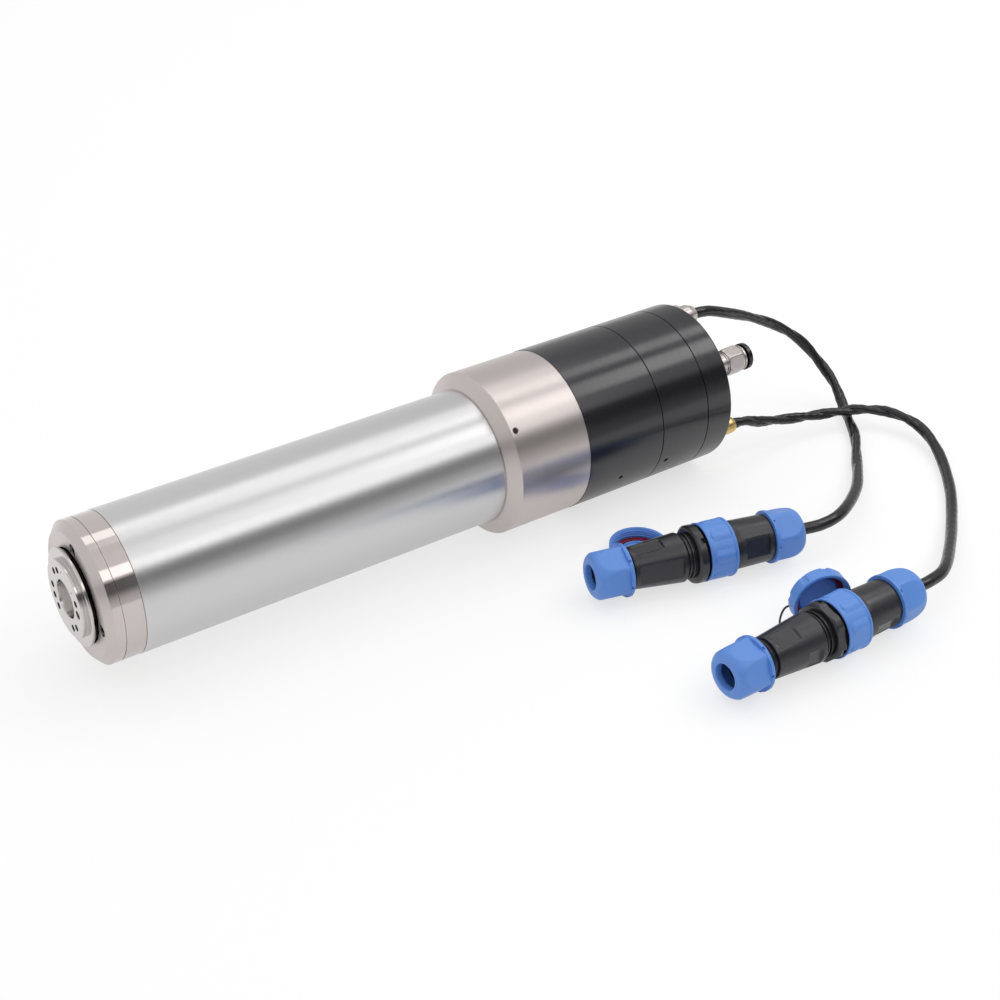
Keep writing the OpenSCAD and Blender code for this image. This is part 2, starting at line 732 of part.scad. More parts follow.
module sensor_housing() {
    color([0.13, 0.13, 0.14]) difference() {
        turned([
            [tail_rod_r + OPEN, x_cylinder_end], [rear_r - 0.3, x_cylinder_end], [rear_r, x_cylinder_end + 0.3],
            [rear_r, x_sensor_end - 0.3], [rear_r - 0.3, x_sensor_end], [sensor_room_r, x_sensor_end],
            [sensor_room_r, x_sensor_floor], [tail_rod_r + OPEN, x_sensor_floor]
        ]);
        pin_at(x_cylinder_end - 1, x_sensor_end + 1, port_r, angle_air, passage_r);
        radial_at(sensor_vent_x, vent_angle, sensor_room_r - 1, rear_r + 1, vent_r);
        for (a = REAR_SCREW_ANGLES)
            pin_at(x_cylinder_end - 1, x_sensor_end + 1, rear_screw_circle_r, a, rear_screw_r);
        for (k = [0:1]) radial_at(x_target + 1 + 6 * k, 20 + 30 * k, sensor_room_r - 1, sensor_room_r + 4, 2.5);
    }
}

module position_sensors() {
    color([0.75, 0.6, 0.3]) for (k = [0:1])
        radial_at(x_target + 1 + 6 * k, 20 + 30 * k, target_r + 1, sensor_room_r + 4, 2.5);
}

// Rear cap and its screws.

module rear_cap() {
    color([0.13, 0.13, 0.14]) difference() {
        turned([
            [sensor_room_r, x_sensor_end], [rear_r - 0.3, x_sensor_end], [rear_r, x_sensor_end + 0.3],
            [rear_r, x_rear - 1.2], [rear_r - 1.2, x_rear], [0, x_rear], [0, x_rear_wall], [sensor_room_r, x_rear_wall]
        ]);
        for (a = [angle_a, angle_b]) {
            pin_at(x_sensor_end - 1, x_rear_wall, port_r, a, gland_thread_r + 1);
            pin_at(x_rear_wall - 1, x_rear + 1, port_r, a, gland_thread_r);
        }
        pin_at(x_sensor_end - 1, x_rear, port_r, angle_air, passage_r);
        pin_at(x_rear - 8, x_rear + 1, port_r, angle_air, fitting_thread_r);
        for (a = REAR_SCREW_ANGLES) {
            pin_at(x_sensor_end - 1, x_rear + 1, rear_screw_circle_r, a, rear_screw_r);
            pin_at(x_rear - rear_screw_head_t, x_rear + 1, rear_screw_circle_r, a, rear_screw_head_r + 0.2);
        }
    }
}

module rear_screws() {
    x_head = x_rear - rear_screw_head_t;
    color([0.3, 0.3, 0.32]) for (a = REAR_SCREW_ANGLES) difference() {
        union() {
            pin_at(x_head, x_rear - 0.2, rear_screw_circle_r, a, rear_screw_head_r);
            pin_at(x_head - rear_screw_len, x_head + EPS, rear_screw_circle_r, a, rear_screw_r);
        }
        hex_at(x_rear - 2.4, x_rear, rear_screw_circle_r, a, 3);
    }
}

// Air fitting.

module air_fitting() {
    color([0.82, 0.77, 0.75]) difference() {
        union() {
            pin_at(x_rear - 8, x_rear + EPS, port_r, angle_air, fitting_thread_r);
            pin_at(x_rear, x_fitting_hex + EPS, port_r, angle_air, fitting_thread_r + 0.6);
            intersection() {
                hex_at(x_fitting_hex, x_fitting_lip, port_r, angle_air, fitting_af, 12);
                translate([0, port_r * cos(angle_air), port_r * sin(angle_air)]) turned([
                    [0, x_fitting_hex], [fitting_af / 2, x_fitting_hex], [fitting_af / 2 + 1.4, x_fitting_hex + 1],
                    [fitting_af / 2 + 1.4, x_fitting_lip - 1.6], [fitting_af / 2, x_fitting_lip], [0, x_fitting_lip]
                ]);
            }
            pin_at(x_fitting_lip - EPS, x_fitting_end, port_r, angle_air, fitting_lip_r);
        }
        pin_at(x_rear - 9, x_hose_stop + 1, port_r, angle_air, 3);
        pin_at(x_hose_stop, x_fitting_end, port_r, angle_air, hose_r);
        pin_at(x_collet, x_fitting_end + 1, port_r, angle_air, fitting_room_r);
    }
}

module fitting_collet() {
    color([0.75, 0.75, 0.77]) difference() {
        pin_at(x_collet, x_collet + collet_len, port_r, angle_air, fitting_room_r);
        pin_at(x_collet - 1, x_collet + collet_len + 1, port_r, angle_air, hose_r);
    }
}

module release_ring() {
    color([0.08, 0.08, 0.08]) difference() {
        union() {
            pin_at(x_collet + collet_len + release_travel + 0.3, x_release_ring + EPS, port_r, angle_air,
                fitting_room_r - 0.3);
            translate([0, port_r * cos(angle_air), port_r * sin(angle_air)]) turned([
                [0, x_release_ring], [release_ring_d / 2, x_release_ring],
                [release_ring_d / 2, x_release_ring + release_flange_t - 1],
                [release_ring_d / 2 - 0.8, x_release_ring + release_flange_t], [0, x_release_ring + release_flange_t]
            ]);
        }
        pin_at(x_collet, x_release_ring + release_flange_t + 1, port_r, angle_air, hose_r + 0.2);
    }
}

// Cable glands.

module gland_a() {
    x_body = x_rear + 6;
    color([0.85, 0.85, 0.86]) difference() {
        union() {
            pin_at(x_rear_wall, x_rear + EPS, port_r, angle_a, gland_thread_r);
            hex_at(x_rear, x_body, port_r, angle_a, 15.4, 10);
            translate([0, port_r * cos(angle_a), port_r * sin(angle_a)]) turned([
                [0, x_body - EPS], [7, x_body - EPS], [7, x_body + 6], [gland_end_r + 1, x_rear + gland_len - 1],
                [gland_end_r, x_rear + gland_len], [0, x_rear + gland_len]
            ]);
        }
        pin_at(x_rear_wall - 1, x_rear + gland_len - 3, port_r, angle_a, cable_d / 2);
    }
}

module gland_b() {
    x_body = x_rear + 5;
    color([0.8, 0.62, 0.3]) difference() {
        union() {
            pin_at(x_rear_wall, x_rear + EPS, port_r, angle_b, gland_thread_r);
            hex_at(x_rear, x_body, port_r, angle_b, 11, 10);
            translate([0, port_r * cos(angle_b), port_r * sin(angle_b)]) turned([
                [0, x_body - EPS], [5.2, x_body - EPS], [5.2, x_rear + gland_len - 2],
                [gland_end_r, x_rear + gland_len], [0, x_rear + gland_len]
            ]);
        }
        pin_at(x_rear_wall - 1, x_rear + gland_len - 3, port_r, angle_b, cable_d / 2);
    }
}

// Cables.

function gland_end(angle) = [x_rear + gland_len, port_r * cos(angle), port_r * sin(angle)];
function plug_dir(heading) = [cos(heading), sin(heading), 0];
function cable_end(place, heading) =
    [place[0], place[1], plug_z] + (s_nut + thread_len + seal_flange_t) * plug_dir(heading);

module cable_a() {
    route = concat([gland_end(angle_a)], ROUTE_A, [cable_end(PLUG_A, heading_a)]);
    color([0.09, 0.09, 0.1])
        swept_tube(smooth(route, cable_steps), cable_d / 2, cable_sides, [1, 0, 0], -plug_dir(heading_a));
}

module cable_b() {
    route = concat([gland_end(angle_b)], ROUTE_B, [cable_end(PLUG_B, heading_b)]);
    color([0.09, 0.09, 0.1])
        swept_tube(smooth(route, cable_steps), cable_d / 2, cable_sides, [1, 0, 0], -plug_dir(heading_b));
}

// In-line plug pair. Local x starts at the free end of the socket's barrel and
// runs towards the cable; the pieces are then placed on the table.

module at_plug(place, heading) {
    translate([place[0], place[1], plug_z]) rotate([0, 0, heading]) children();
}

// Flats are recessed into two sides of a barrel.
module barrel_flats(x0, length, r, width) {
    for (a = [60, 240]) rotate([a, 0, 0]) translate([x0, -width / 2, r]) cube([length, width, 5]);
}

module gland_nut_shape(x_flange_face) {
    // The flange face is at local x = x_flange_face and the nut points to -x.
    translate([x_flange_face, 0, 0]) difference() {
        union() {
            ring(-2, 0, gland_nut_r);
            intersection() {
                hex_at(-15, -1.9, 0, 0, gland_nut_af, 15);
                turned([
                    [0, -15], [gland_nut_r - 3.5, -15], [gland_nut_r - 0.6, -11], [gland_nut_r - 0.6, -1.9], [0, -1.9]
                ]);
            }
            turned([
                [0, -gland_nut_len], [lip_r - 1, -gland_nut_len], [lip_r + 1.6, -gland_nut_len + 1.2],
                [gland_nut_af / 2 - 2.6, -gland_nut_len + 3.4], [gland_nut_af / 2 - 0.6, -14.6], [gland_nut_af / 2 - 0.6, -12],
                [0, -12]
            ]);
        }
        ring(-gland_nut_len + 4, 1, thread_r + 0.35);
        ring(-gland_nut_len - 1, -gland_nut_len + 5, gland_hole_d / 2);
        for (k = [0:5]) radial_at(-1, 60 * k + 30, gland_nut_r - 0.7, gland_nut_r + 1, 0.8);
    }
}

// A stepped rubber seal: its flange rests on the thread's end at x = 0 and its body points to +x.
module seal_shape(flange_bore, body_bore) {
    difference() {
        union() {
            ring(-seal_flange_t, 0, thread_r - 0.5);
            ring(-EPS, seal_body_len, wire_room_r - 0.1);
        }
        if (flange_bore > 0) ring(-seal_flange_t - 1, 1, flange_bore / 2);
        ring(0, seal_body_len + 1, body_bore / 2);
    }
}

module socket_body() {
    s_shell_end = s_ring_end - 4;
    difference() {
        union() {
            ring(-thread_len, EPS, thread_r);
            turned([
                [0, 0], [barrel_r, 0], [barrel_end_r, barrel_len], [barrel_end_r - 1.6, barrel_len],
                [barrel_end_r - 1.6, s_flange], [0, s_flange]
            ]);
            turned([
                [barrel_end_r - 2, barrel_len + 0.6], [barrel_end_r - 0.2, barrel_len + 0.6],
                [flange_r - 1, s_flange - 2.6], [flange_r - 1, s_flange - 0.8], [barrel_end_r - 2, s_flange - 0.8]
            ]);
            intersection() {
                hex_at(s_flange - EPS, s_flange + flange_len, 0, 0, flange_af, 15);
                turned([
                    [0, s_flange - EPS], [flange_r - 1, s_flange - EPS], [flange_r, s_flange + 1],
                    [flange_r, s_flange + flange_len], [0, s_flange + flange_len]
                ]);
            }
            ring(s_flange, s_shell_end, shell_r);
        }
        ring(-thread_len - 1, wire_room_len - thread_len, wire_room_r);
        ring(s_flange + flange_len, s_shell_end + 1, shell_bore_r);
        barrel_flats(5, 16, barrel_r - 0.4, 12);
        for (a = PIN_ANGLES)
            pin_at(wire_room_len - thread_len - 1, s_flange + flange_len + 1, pin_circle_r, a, pin_r);
        radial_at(s_flange + flange_len / 2, 35, flange_r - 4, flange_r + 1, 1.1);
    }
}

module socket_pins() {
    for (a = PIN_ANGLES)
        pin_at(wire_room_len - thread_len - 1, s_flange + flange_len + pin_len - 8, pin_circle_r, a, pin_r);
}

module plug_body() {
    s_nose = s_flange + flange_len + 0.4;
    difference() {
        union() {
            ring(s_nose, s_ring_end + EPS, shell_bore_r - 0.35);
            ring(s_ring_end - 3, s_ring_end + EPS, shell_r - 0.2);
            turned([
                [0, s_ring_end], [shell_r - 0.2, s_ring_end], [shell_r, s_ring_end + 2],
                [shell_r - 0.6, s_nut], [0, s_nut]
            ]);
            ring(s_nut - EPS, s_nut + thread_len, thread_r);
        }
        ring(s_nut - 6, s_nut + thread_len + 1, wire_room_r);
        for (a = PIN_ANGLES) pin_at(s_nose - 1, s_nut - 5, pin_circle_r, a, pin_r + 0.3);
        translate([s_ring_end + 4, 0, 0]) barrel_flats(3, 13, shell_r - 1, 12);
    }
}

module coupling_ring() {
    wall_r = coupling_d / 2 - 0.6;
    difference() {
        union() {
            turned([
                [0, s_ring], [wall_r - 0.8, s_ring], [wall_r, s_ring + 1], [wall_r, s_ring_end - 4],
                [wall_r - 1.8, s_ring_end], [0, s_ring_end]
            ]);
            intersection() {
                turned([
                    [0, s_ring + 1], [coupling_d / 2, s_ring + 2], [coupling_d / 2, s_ring_end - 5],
                    [wall_r - 1, s_ring_end - 2], [0, s_ring_end - 2]
                ]);
                for (k = [0:lobes - 1]) rotate([k * 360 / lobes + 10, 0, 0])
                    translate([s_ring, -4.2, 0]) cube([coupling_len, 8.4, coupling_d]);
            }
        }
        ring(s_ring - 1, s_ring_end + 1, shell_r + 0.3);
    }
}

module plug_nut() {
    mirror([1, 0, 0]) gland_nut_shape(-s_nut);
}

module plug_seal() {
    translate([s_nut + thread_len, 0, 0]) mirror([1, 0, 0]) seal_shape(0, cable_d);
}

module free_nut(gap) {
    gland_nut_shape(-gap);
}

module free_seal() {
    translate([-thread_len, 0, 0]) seal_shape(seal_bore_d, seal_bore_d);
}

// Dust cap with its open side up.
module dust_cap() {
    notch_r = 3;
    difference() {
        turned_up([
            [0, 0], [dust_cap_r - 1.5, 0], [dust_cap_r, 1.5], [dust_cap_r, dust_cap_h],
            [dust_cap_r - dust_cap_wall, dust_cap_h], [dust_cap_r - dust_cap_wall, dust_cap_wall], [0, dust_cap_wall]
        ]);
        for (k = [0:lobes - 1]) rotate(k * 360 / lobes)
            translate([dust_cap_r + notch_r - 0.7, 0, -1]) cylinder(h = dust_cap_h - 1, r = notch_r);
    }
}

module turned_up(profile) {
    rotate_extrude() polygon(profile);
}

module cap_gasket() {
    out_r = dust_cap_r - dust_cap_wall - 0.3;
    translate([0, 0, dust_cap_wall]) difference() {
        cylinder(h = gasket_t, r = out_r);
        translate([0, 0, -1]) cylinder(h = gasket_t + 2, r = out_r - 3);
    }
}

module at_cap_b() {
    translate(CAP_B_PLACE) rotate(CAP_B_TURN) children();
}

BLACK = [0.12, 0.12, 0.13];
BLUE = [0.36, 0.56, 0.9];
RUBBER = [0.2, 0.2, 0.21];
PIN_METAL = [0.82, 0.68, 0.35];
RED = [0.75, 0.15, 0.15];

module plug_a_body() { color(BLACK) at_plug(PLUG_A, heading_a) plug_body(); }
module plug_a_nut() { color(BLUE) at_plug(PLUG_A, heading_a) plug_nut(); }
module plug_a_seal() { color(RUBBER) at_plug(PLUG_A, heading_a) plug_seal(); }
module coupling_ring_a() { color(BLUE) at_plug(PLUG_A, heading_a) coupling_ring(); }
module socket_a_body() { color(BLACK) at_plug(PLUG_A, heading_a) socket_body(); }
module socket_a_pins() { color(PIN_METAL) at_plug(PLUG_A, heading_a) socket_pins(); }
module socket_a_nut() { color(BLUE) at_plug(PLUG_A, heading_a) free_nut(nut_gap_a); }
module socket_a_seal() { color(RUBBER) at_plug(PLUG_A, heading_a) free_seal(); }
module dust_cap_a() { color(BLUE) translate(CAP_A_PLACE) dust_cap(); }
module cap_gasket_a() { color(RED) translate(CAP_A_PLACE) cap_gasket(); }

module plug_b_body() { color(BLACK) at_plug(PLUG_B, heading_b) plug_body(); }
module plug_b_nut() { color(BLUE) at_plug(PLUG_B, heading_b) plug_nut(); }
module plug_b_seal() { color(RUBBER) at_plug(PLUG_B, heading_b) plug_seal(); }
module coupling_ring_b() { color(BLUE) at_plug(PLUG_B, heading_b) coupling_ring(); }
module socket_b_body() { color(BLACK) at_plug(PLUG_B, heading_b) socket_body(); }
module socket_b_pins() { color(PIN_METAL) at_plug(PLUG_B, heading_b) socket_pins(); }
module socket_b_nut() { color(BLUE) at_plug(PLUG_B, heading_b) free_nut(nut_gap_b); }
module socket_b_seal() { color(RUBBER) at_plug(PLUG_B, heading_b) free_seal(); }
module dust_cap_b() { color(BLUE) at_cap_b() dust_cap(); }
module cap_gasket_b() { color(RED) at_cap_b() cap_gasket(); }
module cap_lanyard_b() {
    path = smooth(LANYARD, 3);
    first = unit(path[1] - path[0]);
    last = unit(path[len(path) - 1] - path[len(path) - 2]);
    color(BLACK) swept_tube(path, lanyard_d / 2, 6, first, last);
}

spindle_shaft();
rotor_core();
front_inner_rings();
rear_inner_rings();
preload_nut();
sensor_ring();
disc_springs();
front_ball_sets();
rear_ball_sets();
drawbar();
gripper();
nose_cap();
cap_screws();
front_bearing_housing();
front_outer_rings();
body_sleeve();
stator_core();
stator_windings();
rear_bearing_housing();
rear_outer_rings();
rear_bearing_cover();
collar();
cylinder_housing();
piston();
piston_seal();
return_spring();
sensor_housing();
position_sensors();
rear_cap();
rear_screws();
air_fitting();
fitting_collet();
release_ring();
gland_a();
gland_b();
cable_a();
cable_b();
plug_a_body();
plug_a_nut();
plug_a_seal();
coupling_ring_a();
socket_a_body();
socket_a_pins();
socket_a_nut();
socket_a_seal();
dust_cap_a();
cap_gasket_a();
plug_b_body();
plug_b_nut();
plug_b_seal();
coupling_ring_b();
socket_b_body();
socket_b_pins();
socket_b_nut();
socket_b_seal();
dust_cap_b();
cap_gasket_b();
cap_lanyard_b();
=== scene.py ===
import json
import math
import bpy
import bmesh
from mathutils import Matrix, Vector


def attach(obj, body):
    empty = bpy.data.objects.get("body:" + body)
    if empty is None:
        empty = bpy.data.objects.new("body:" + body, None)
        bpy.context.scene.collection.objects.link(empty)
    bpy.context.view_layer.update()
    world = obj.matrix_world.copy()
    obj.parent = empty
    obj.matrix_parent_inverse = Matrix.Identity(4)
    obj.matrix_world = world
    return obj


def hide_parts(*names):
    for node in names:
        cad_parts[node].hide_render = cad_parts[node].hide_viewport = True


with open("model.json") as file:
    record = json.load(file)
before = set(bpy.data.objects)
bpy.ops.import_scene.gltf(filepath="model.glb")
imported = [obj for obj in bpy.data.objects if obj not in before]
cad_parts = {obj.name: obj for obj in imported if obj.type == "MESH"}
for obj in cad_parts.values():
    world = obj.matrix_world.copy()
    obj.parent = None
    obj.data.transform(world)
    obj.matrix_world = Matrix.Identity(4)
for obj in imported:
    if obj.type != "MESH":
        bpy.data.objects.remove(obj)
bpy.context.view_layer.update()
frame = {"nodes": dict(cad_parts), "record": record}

MM = 0.001

# Camera

scene = bpy.context.scene
camera_data = bpy.data.cameras.new("photo_camera")
camera_data.lens = 63.467
camera_data.sensor_width = 36.0
camera_data.clip_end = 50
camera = bpy.data.objects.new("photo_camera", camera_data)
camera.location = (-0.23872, -0.73229, 0.53117)
camera.rotation_euler = (math.radians(90 - 32.578), 0, math.radians(-34.819))
scene.collection.objects.link(camera)
scene.camera = camera

# Stations, in millimetres, as in part.scad

X_CAP, X_CAP_END, X_RING_END, X_SLEEVE_END = 4.5, 13.5, 25.0, 247.0
X_COLLAR_END, X_CYL_END, X_SENSOR_END, X_REAR = 300.5, 354.5, 389.0, 407.5
X_GLAND_MOUTH = 424.0
BODY_R, NOSE_R, BORE_R, SEAT_R = 40.0, 39.8, 36.0, 39.5
COLLAR_R, REAR_R, PORT_R = 49.0, 49.25, 39.0
SPIGOT_R, X_SPIGOT_END = 31, 26
INNER_R, CUTTER_R = 34, 52
SCREW_SHANK_R = 2.0

# How many sides the turned pieces have
BODY_SIDES, NOSE_SIDES, ROTOR_SIDES, PORT_SIDES = 288, 240, 192, 96

# The seams: narrow slots between the sections, with slightly broken edges
SEAM, SEAM_DEPTH, SEAM_EDGE = 0.28, 1, 0.12
NOSE_SEAM, RING_SEAM, NOSE_SEAM_DEPTH, NOSE_SEAM_EDGE = 0.3, 0.25, 0.7, 0.1

# The table, and where the ports, the free plug halves and their gland nuts are
TABLE_Z = -49.25
COUPLING_R = 17.5
PLUG_Z = TABLE_Z + COUPLING_R
ANGLE_A, ANGLE_AIR, ANGLE_B = 75.0, 142.5, 213.0
PLUG_A, PLUG_B = (282.0, -108.5), (290.0, -213.3)
HEADING_A, HEADING_B = -13.3, 0.0
S_NUT = 87.0


def polar(x, r, angle):
    """A point in millimetres at a radius and an angle about the X axis."""
    a = math.radians(angle)
    return Vector((x, r * math.cos(a), r * math.sin(a)))


def turn(degrees, axis):
    """A rotation about an axis of the frame."""
    return Matrix.Rotation(math.radians(degrees), 4, axis)


def at_plug(place, heading):
    """Where a plug pair's own axis, from its free end to its cord, lies on the table."""
    return Matrix.Translation((*place, PLUG_Z)) @ turn(heading, "Z")


IN_A = at_plug(PLUG_A, HEADING_A)
IN_B = at_plug(PLUG_B, HEADING_B)

# Materials


class Nodes:
    """Short ways to make and join shader nodes."""

    def __init__(self, tree):
        self.tree = tree
        tree.nodes.clear()

    def add(self, kind, inputs=None, **settings):
        node = self.tree.nodes.new(kind)
        for key, value in settings.items():
            setattr(node, key, value)
        for key, value in (inputs or {}).items():
            socket = node.inputs[key]
            if isinstance(value, bpy.types.NodeSocket):
                self.tree.links.new(value, socket)
            else:
                socket.default_value = value
        return node

    def ramp(self, value, low, high, out_low=0.0, out_high=1.0):
        node = self.add("ShaderNodeMapRange", {"Value": value, "From Min": low, "From Max": high,
                                               "To Min": out_low, "To Max": out_high})
        return node.outputs["Result"]

    def math(self, operation, a, b=0.0, clamp=False):
        return self.add("ShaderNodeMath", {0: a, 1: b}, operation=operation, use_clamp=clamp).outputs[0]

    def between(self, value, low, high):
        return self.math("MULTIPLY", self.math("GREATER_THAN", value, low), self.math("LESS_THAN", value, high))


# A near-black base colour, painted where a narrow gap lies in shade: painted shade.
PAINTED_SHADE_COLOR = (0.012, 0.011, 0.011, 1)


def surface(name, color, metallic, rough, rough_spread, tint, lines, detail, bump, bump_mm, blotch=14.0,
            blotch_rough=0.04, marks=0.0, speckle=0.0, sockets=None, polished=None, turned=0.0, painted_shade=None):
    """A finish with fine lines or grain, slow colour and gloss changes, and a few faint marks.

    lines is the scale of the grain along X, Y and Z, and blotch that of the slow changes. tint is how far the colour
    moves either way, rough_spread and blotch_rough how far the gloss does. marks dulls thin scratches, and speckle
    raises fine dots. polished is (x0, x1, factor): roughness is multiplied by the factor on that stretch of the part.
    turned draws reflections out as lathe marks do. painted_shade is (x0, x1, r0, r1): a stretch about the axis, deep
    in a gap, where the base colour is painted near black as painted shade.
    """
    material = bpy.data.materials.new(name)
    material.use_nodes = True
    n = Nodes(material.node_tree)
    place = n.add("ShaderNodeTexCoord").outputs["Object"]
    stretched = n.add("ShaderNodeMapping", {"Vector": place, "Scale": lines}).outputs["Vector"]
    grain = n.add("ShaderNodeTexNoise", {"Vector": stretched, "Scale": 1.0, "Detail": detail,
                                         "Roughness": 0.62}).outputs["Fac"]
    slow = n.add("ShaderNodeTexNoise", {"Vector": place, "Scale": blotch, "Detail": 3.0}).outputs["Fac"]
    mixed = n.math("ADD", n.math("MULTIPLY", slow, 0.6), n.math("MULTIPLY", grain, 0.4))
    shade = n.ramp(mixed, 0.3, 0.7)
    dark = tuple(c * (1 - tint) for c in color) + (1,)
    pale = tuple(min(c * (1 + tint), 1.0) for c in color) + (1,)
    base = n.add("ShaderNodeMix", {"Factor": shade, "A": dark, "B": pale}, data_type="RGBA").outputs["Result"]
    roughness = n.math("ADD", n.ramp(grain, 0.3, 0.7, rough - rough_spread, rough + rough_spread),
                       n.ramp(slow, 0.3, 0.7, -blotch_rough, blotch_rough), clamp=True)
    # Painted shade: on this stretch about the axis the base colour is mixed to near black, standing in for the shade
    # deep in the gap between the nose cap and the rotor's flange.
    if painted_shade:
        axes = n.add("ShaderNodeSeparateXYZ", {"Vector": place}).outputs
        x0, x1, r0, r1 = (value * MM for value in painted_shade)
        squares = [n.math("MULTIPLY", axes[axis], axes[axis]) for axis in "YZ"]
        off_axis = n.math("SQRT", n.math("ADD", *squares))
        deep = n.math("MULTIPLY", n.between(axes["X"], x0, x1), n.between(off_axis, r0, r1))
        base = n.add("ShaderNodeMix", {"Factor": deep, "A": base, "B": PAINTED_SHADE_COLOR}, data_type="RGBA").outputs["Result"]
    height = grain
    if marks:
        scratch_map = n.add("ShaderNodeMapping", {"Vector": place, "Scale": (34, 210, 210),
                                                  "Rotation": (0.3, 0.5, 0.8)}).outputs["Vector"]
        cells = n.add("ShaderNodeTexVoronoi", {"Vector": scratch_map, "Scale": 1.0},
                      feature="DISTANCE_TO_EDGE").outputs["Distance"]
        line = n.ramp(cells, 0.0, 0.02, 1.0, 0.0)
        patch = n.ramp(n.add("ShaderNodeTexNoise", {"Vector": place, "Scale": 45.0}).outputs["Fac"], 0.56, 0.66)
        wear = n.math("MULTIPLY", line, patch)
        roughness = n.math("ADD", roughness, n.math("MULTIPLY", wear, marks), clamp=True)
    if speckle:
        dots = n.add("ShaderNodeTexVoronoi", {"Vector": place, "Scale": 900.0}).outputs["Distance"]
        height = n.math("ADD", height, n.math("MULTIPLY", dots, speckle))
    if polished:
        x0, x1, factor = polished
        x = n.add("ShaderNodeSeparateXYZ", {"Vector": place}).outputs["X"]
        roughness = n.math("MULTIPLY", roughness, n.ramp(n.between(x, x0 * MM, x1 * MM), 0.0, 1.0, 1.0, factor))
    normal = n.add("ShaderNodeBump", {"Height": height, "Strength": bump, "Distance": bump_mm * MM}).outputs["Normal"]
    values = {"Base Color": base, "Metallic": metallic, "Roughness": roughness, "Normal": normal}
    if turned:
        values.update({"Anisotropic": turned, "Anisotropic Rotation": 0.25,
                       "Tangent": n.add("ShaderNodeTangent", direction_type="RADIAL", axis="X").outputs["Tangent"]})
    values.update(sockets or {})
    shader = n.add("ShaderNodeBsdfPrincipled", values)
    n.add("ShaderNodeOutputMaterial", {"Surface": shader.outputs["BSDF"]})
    return material


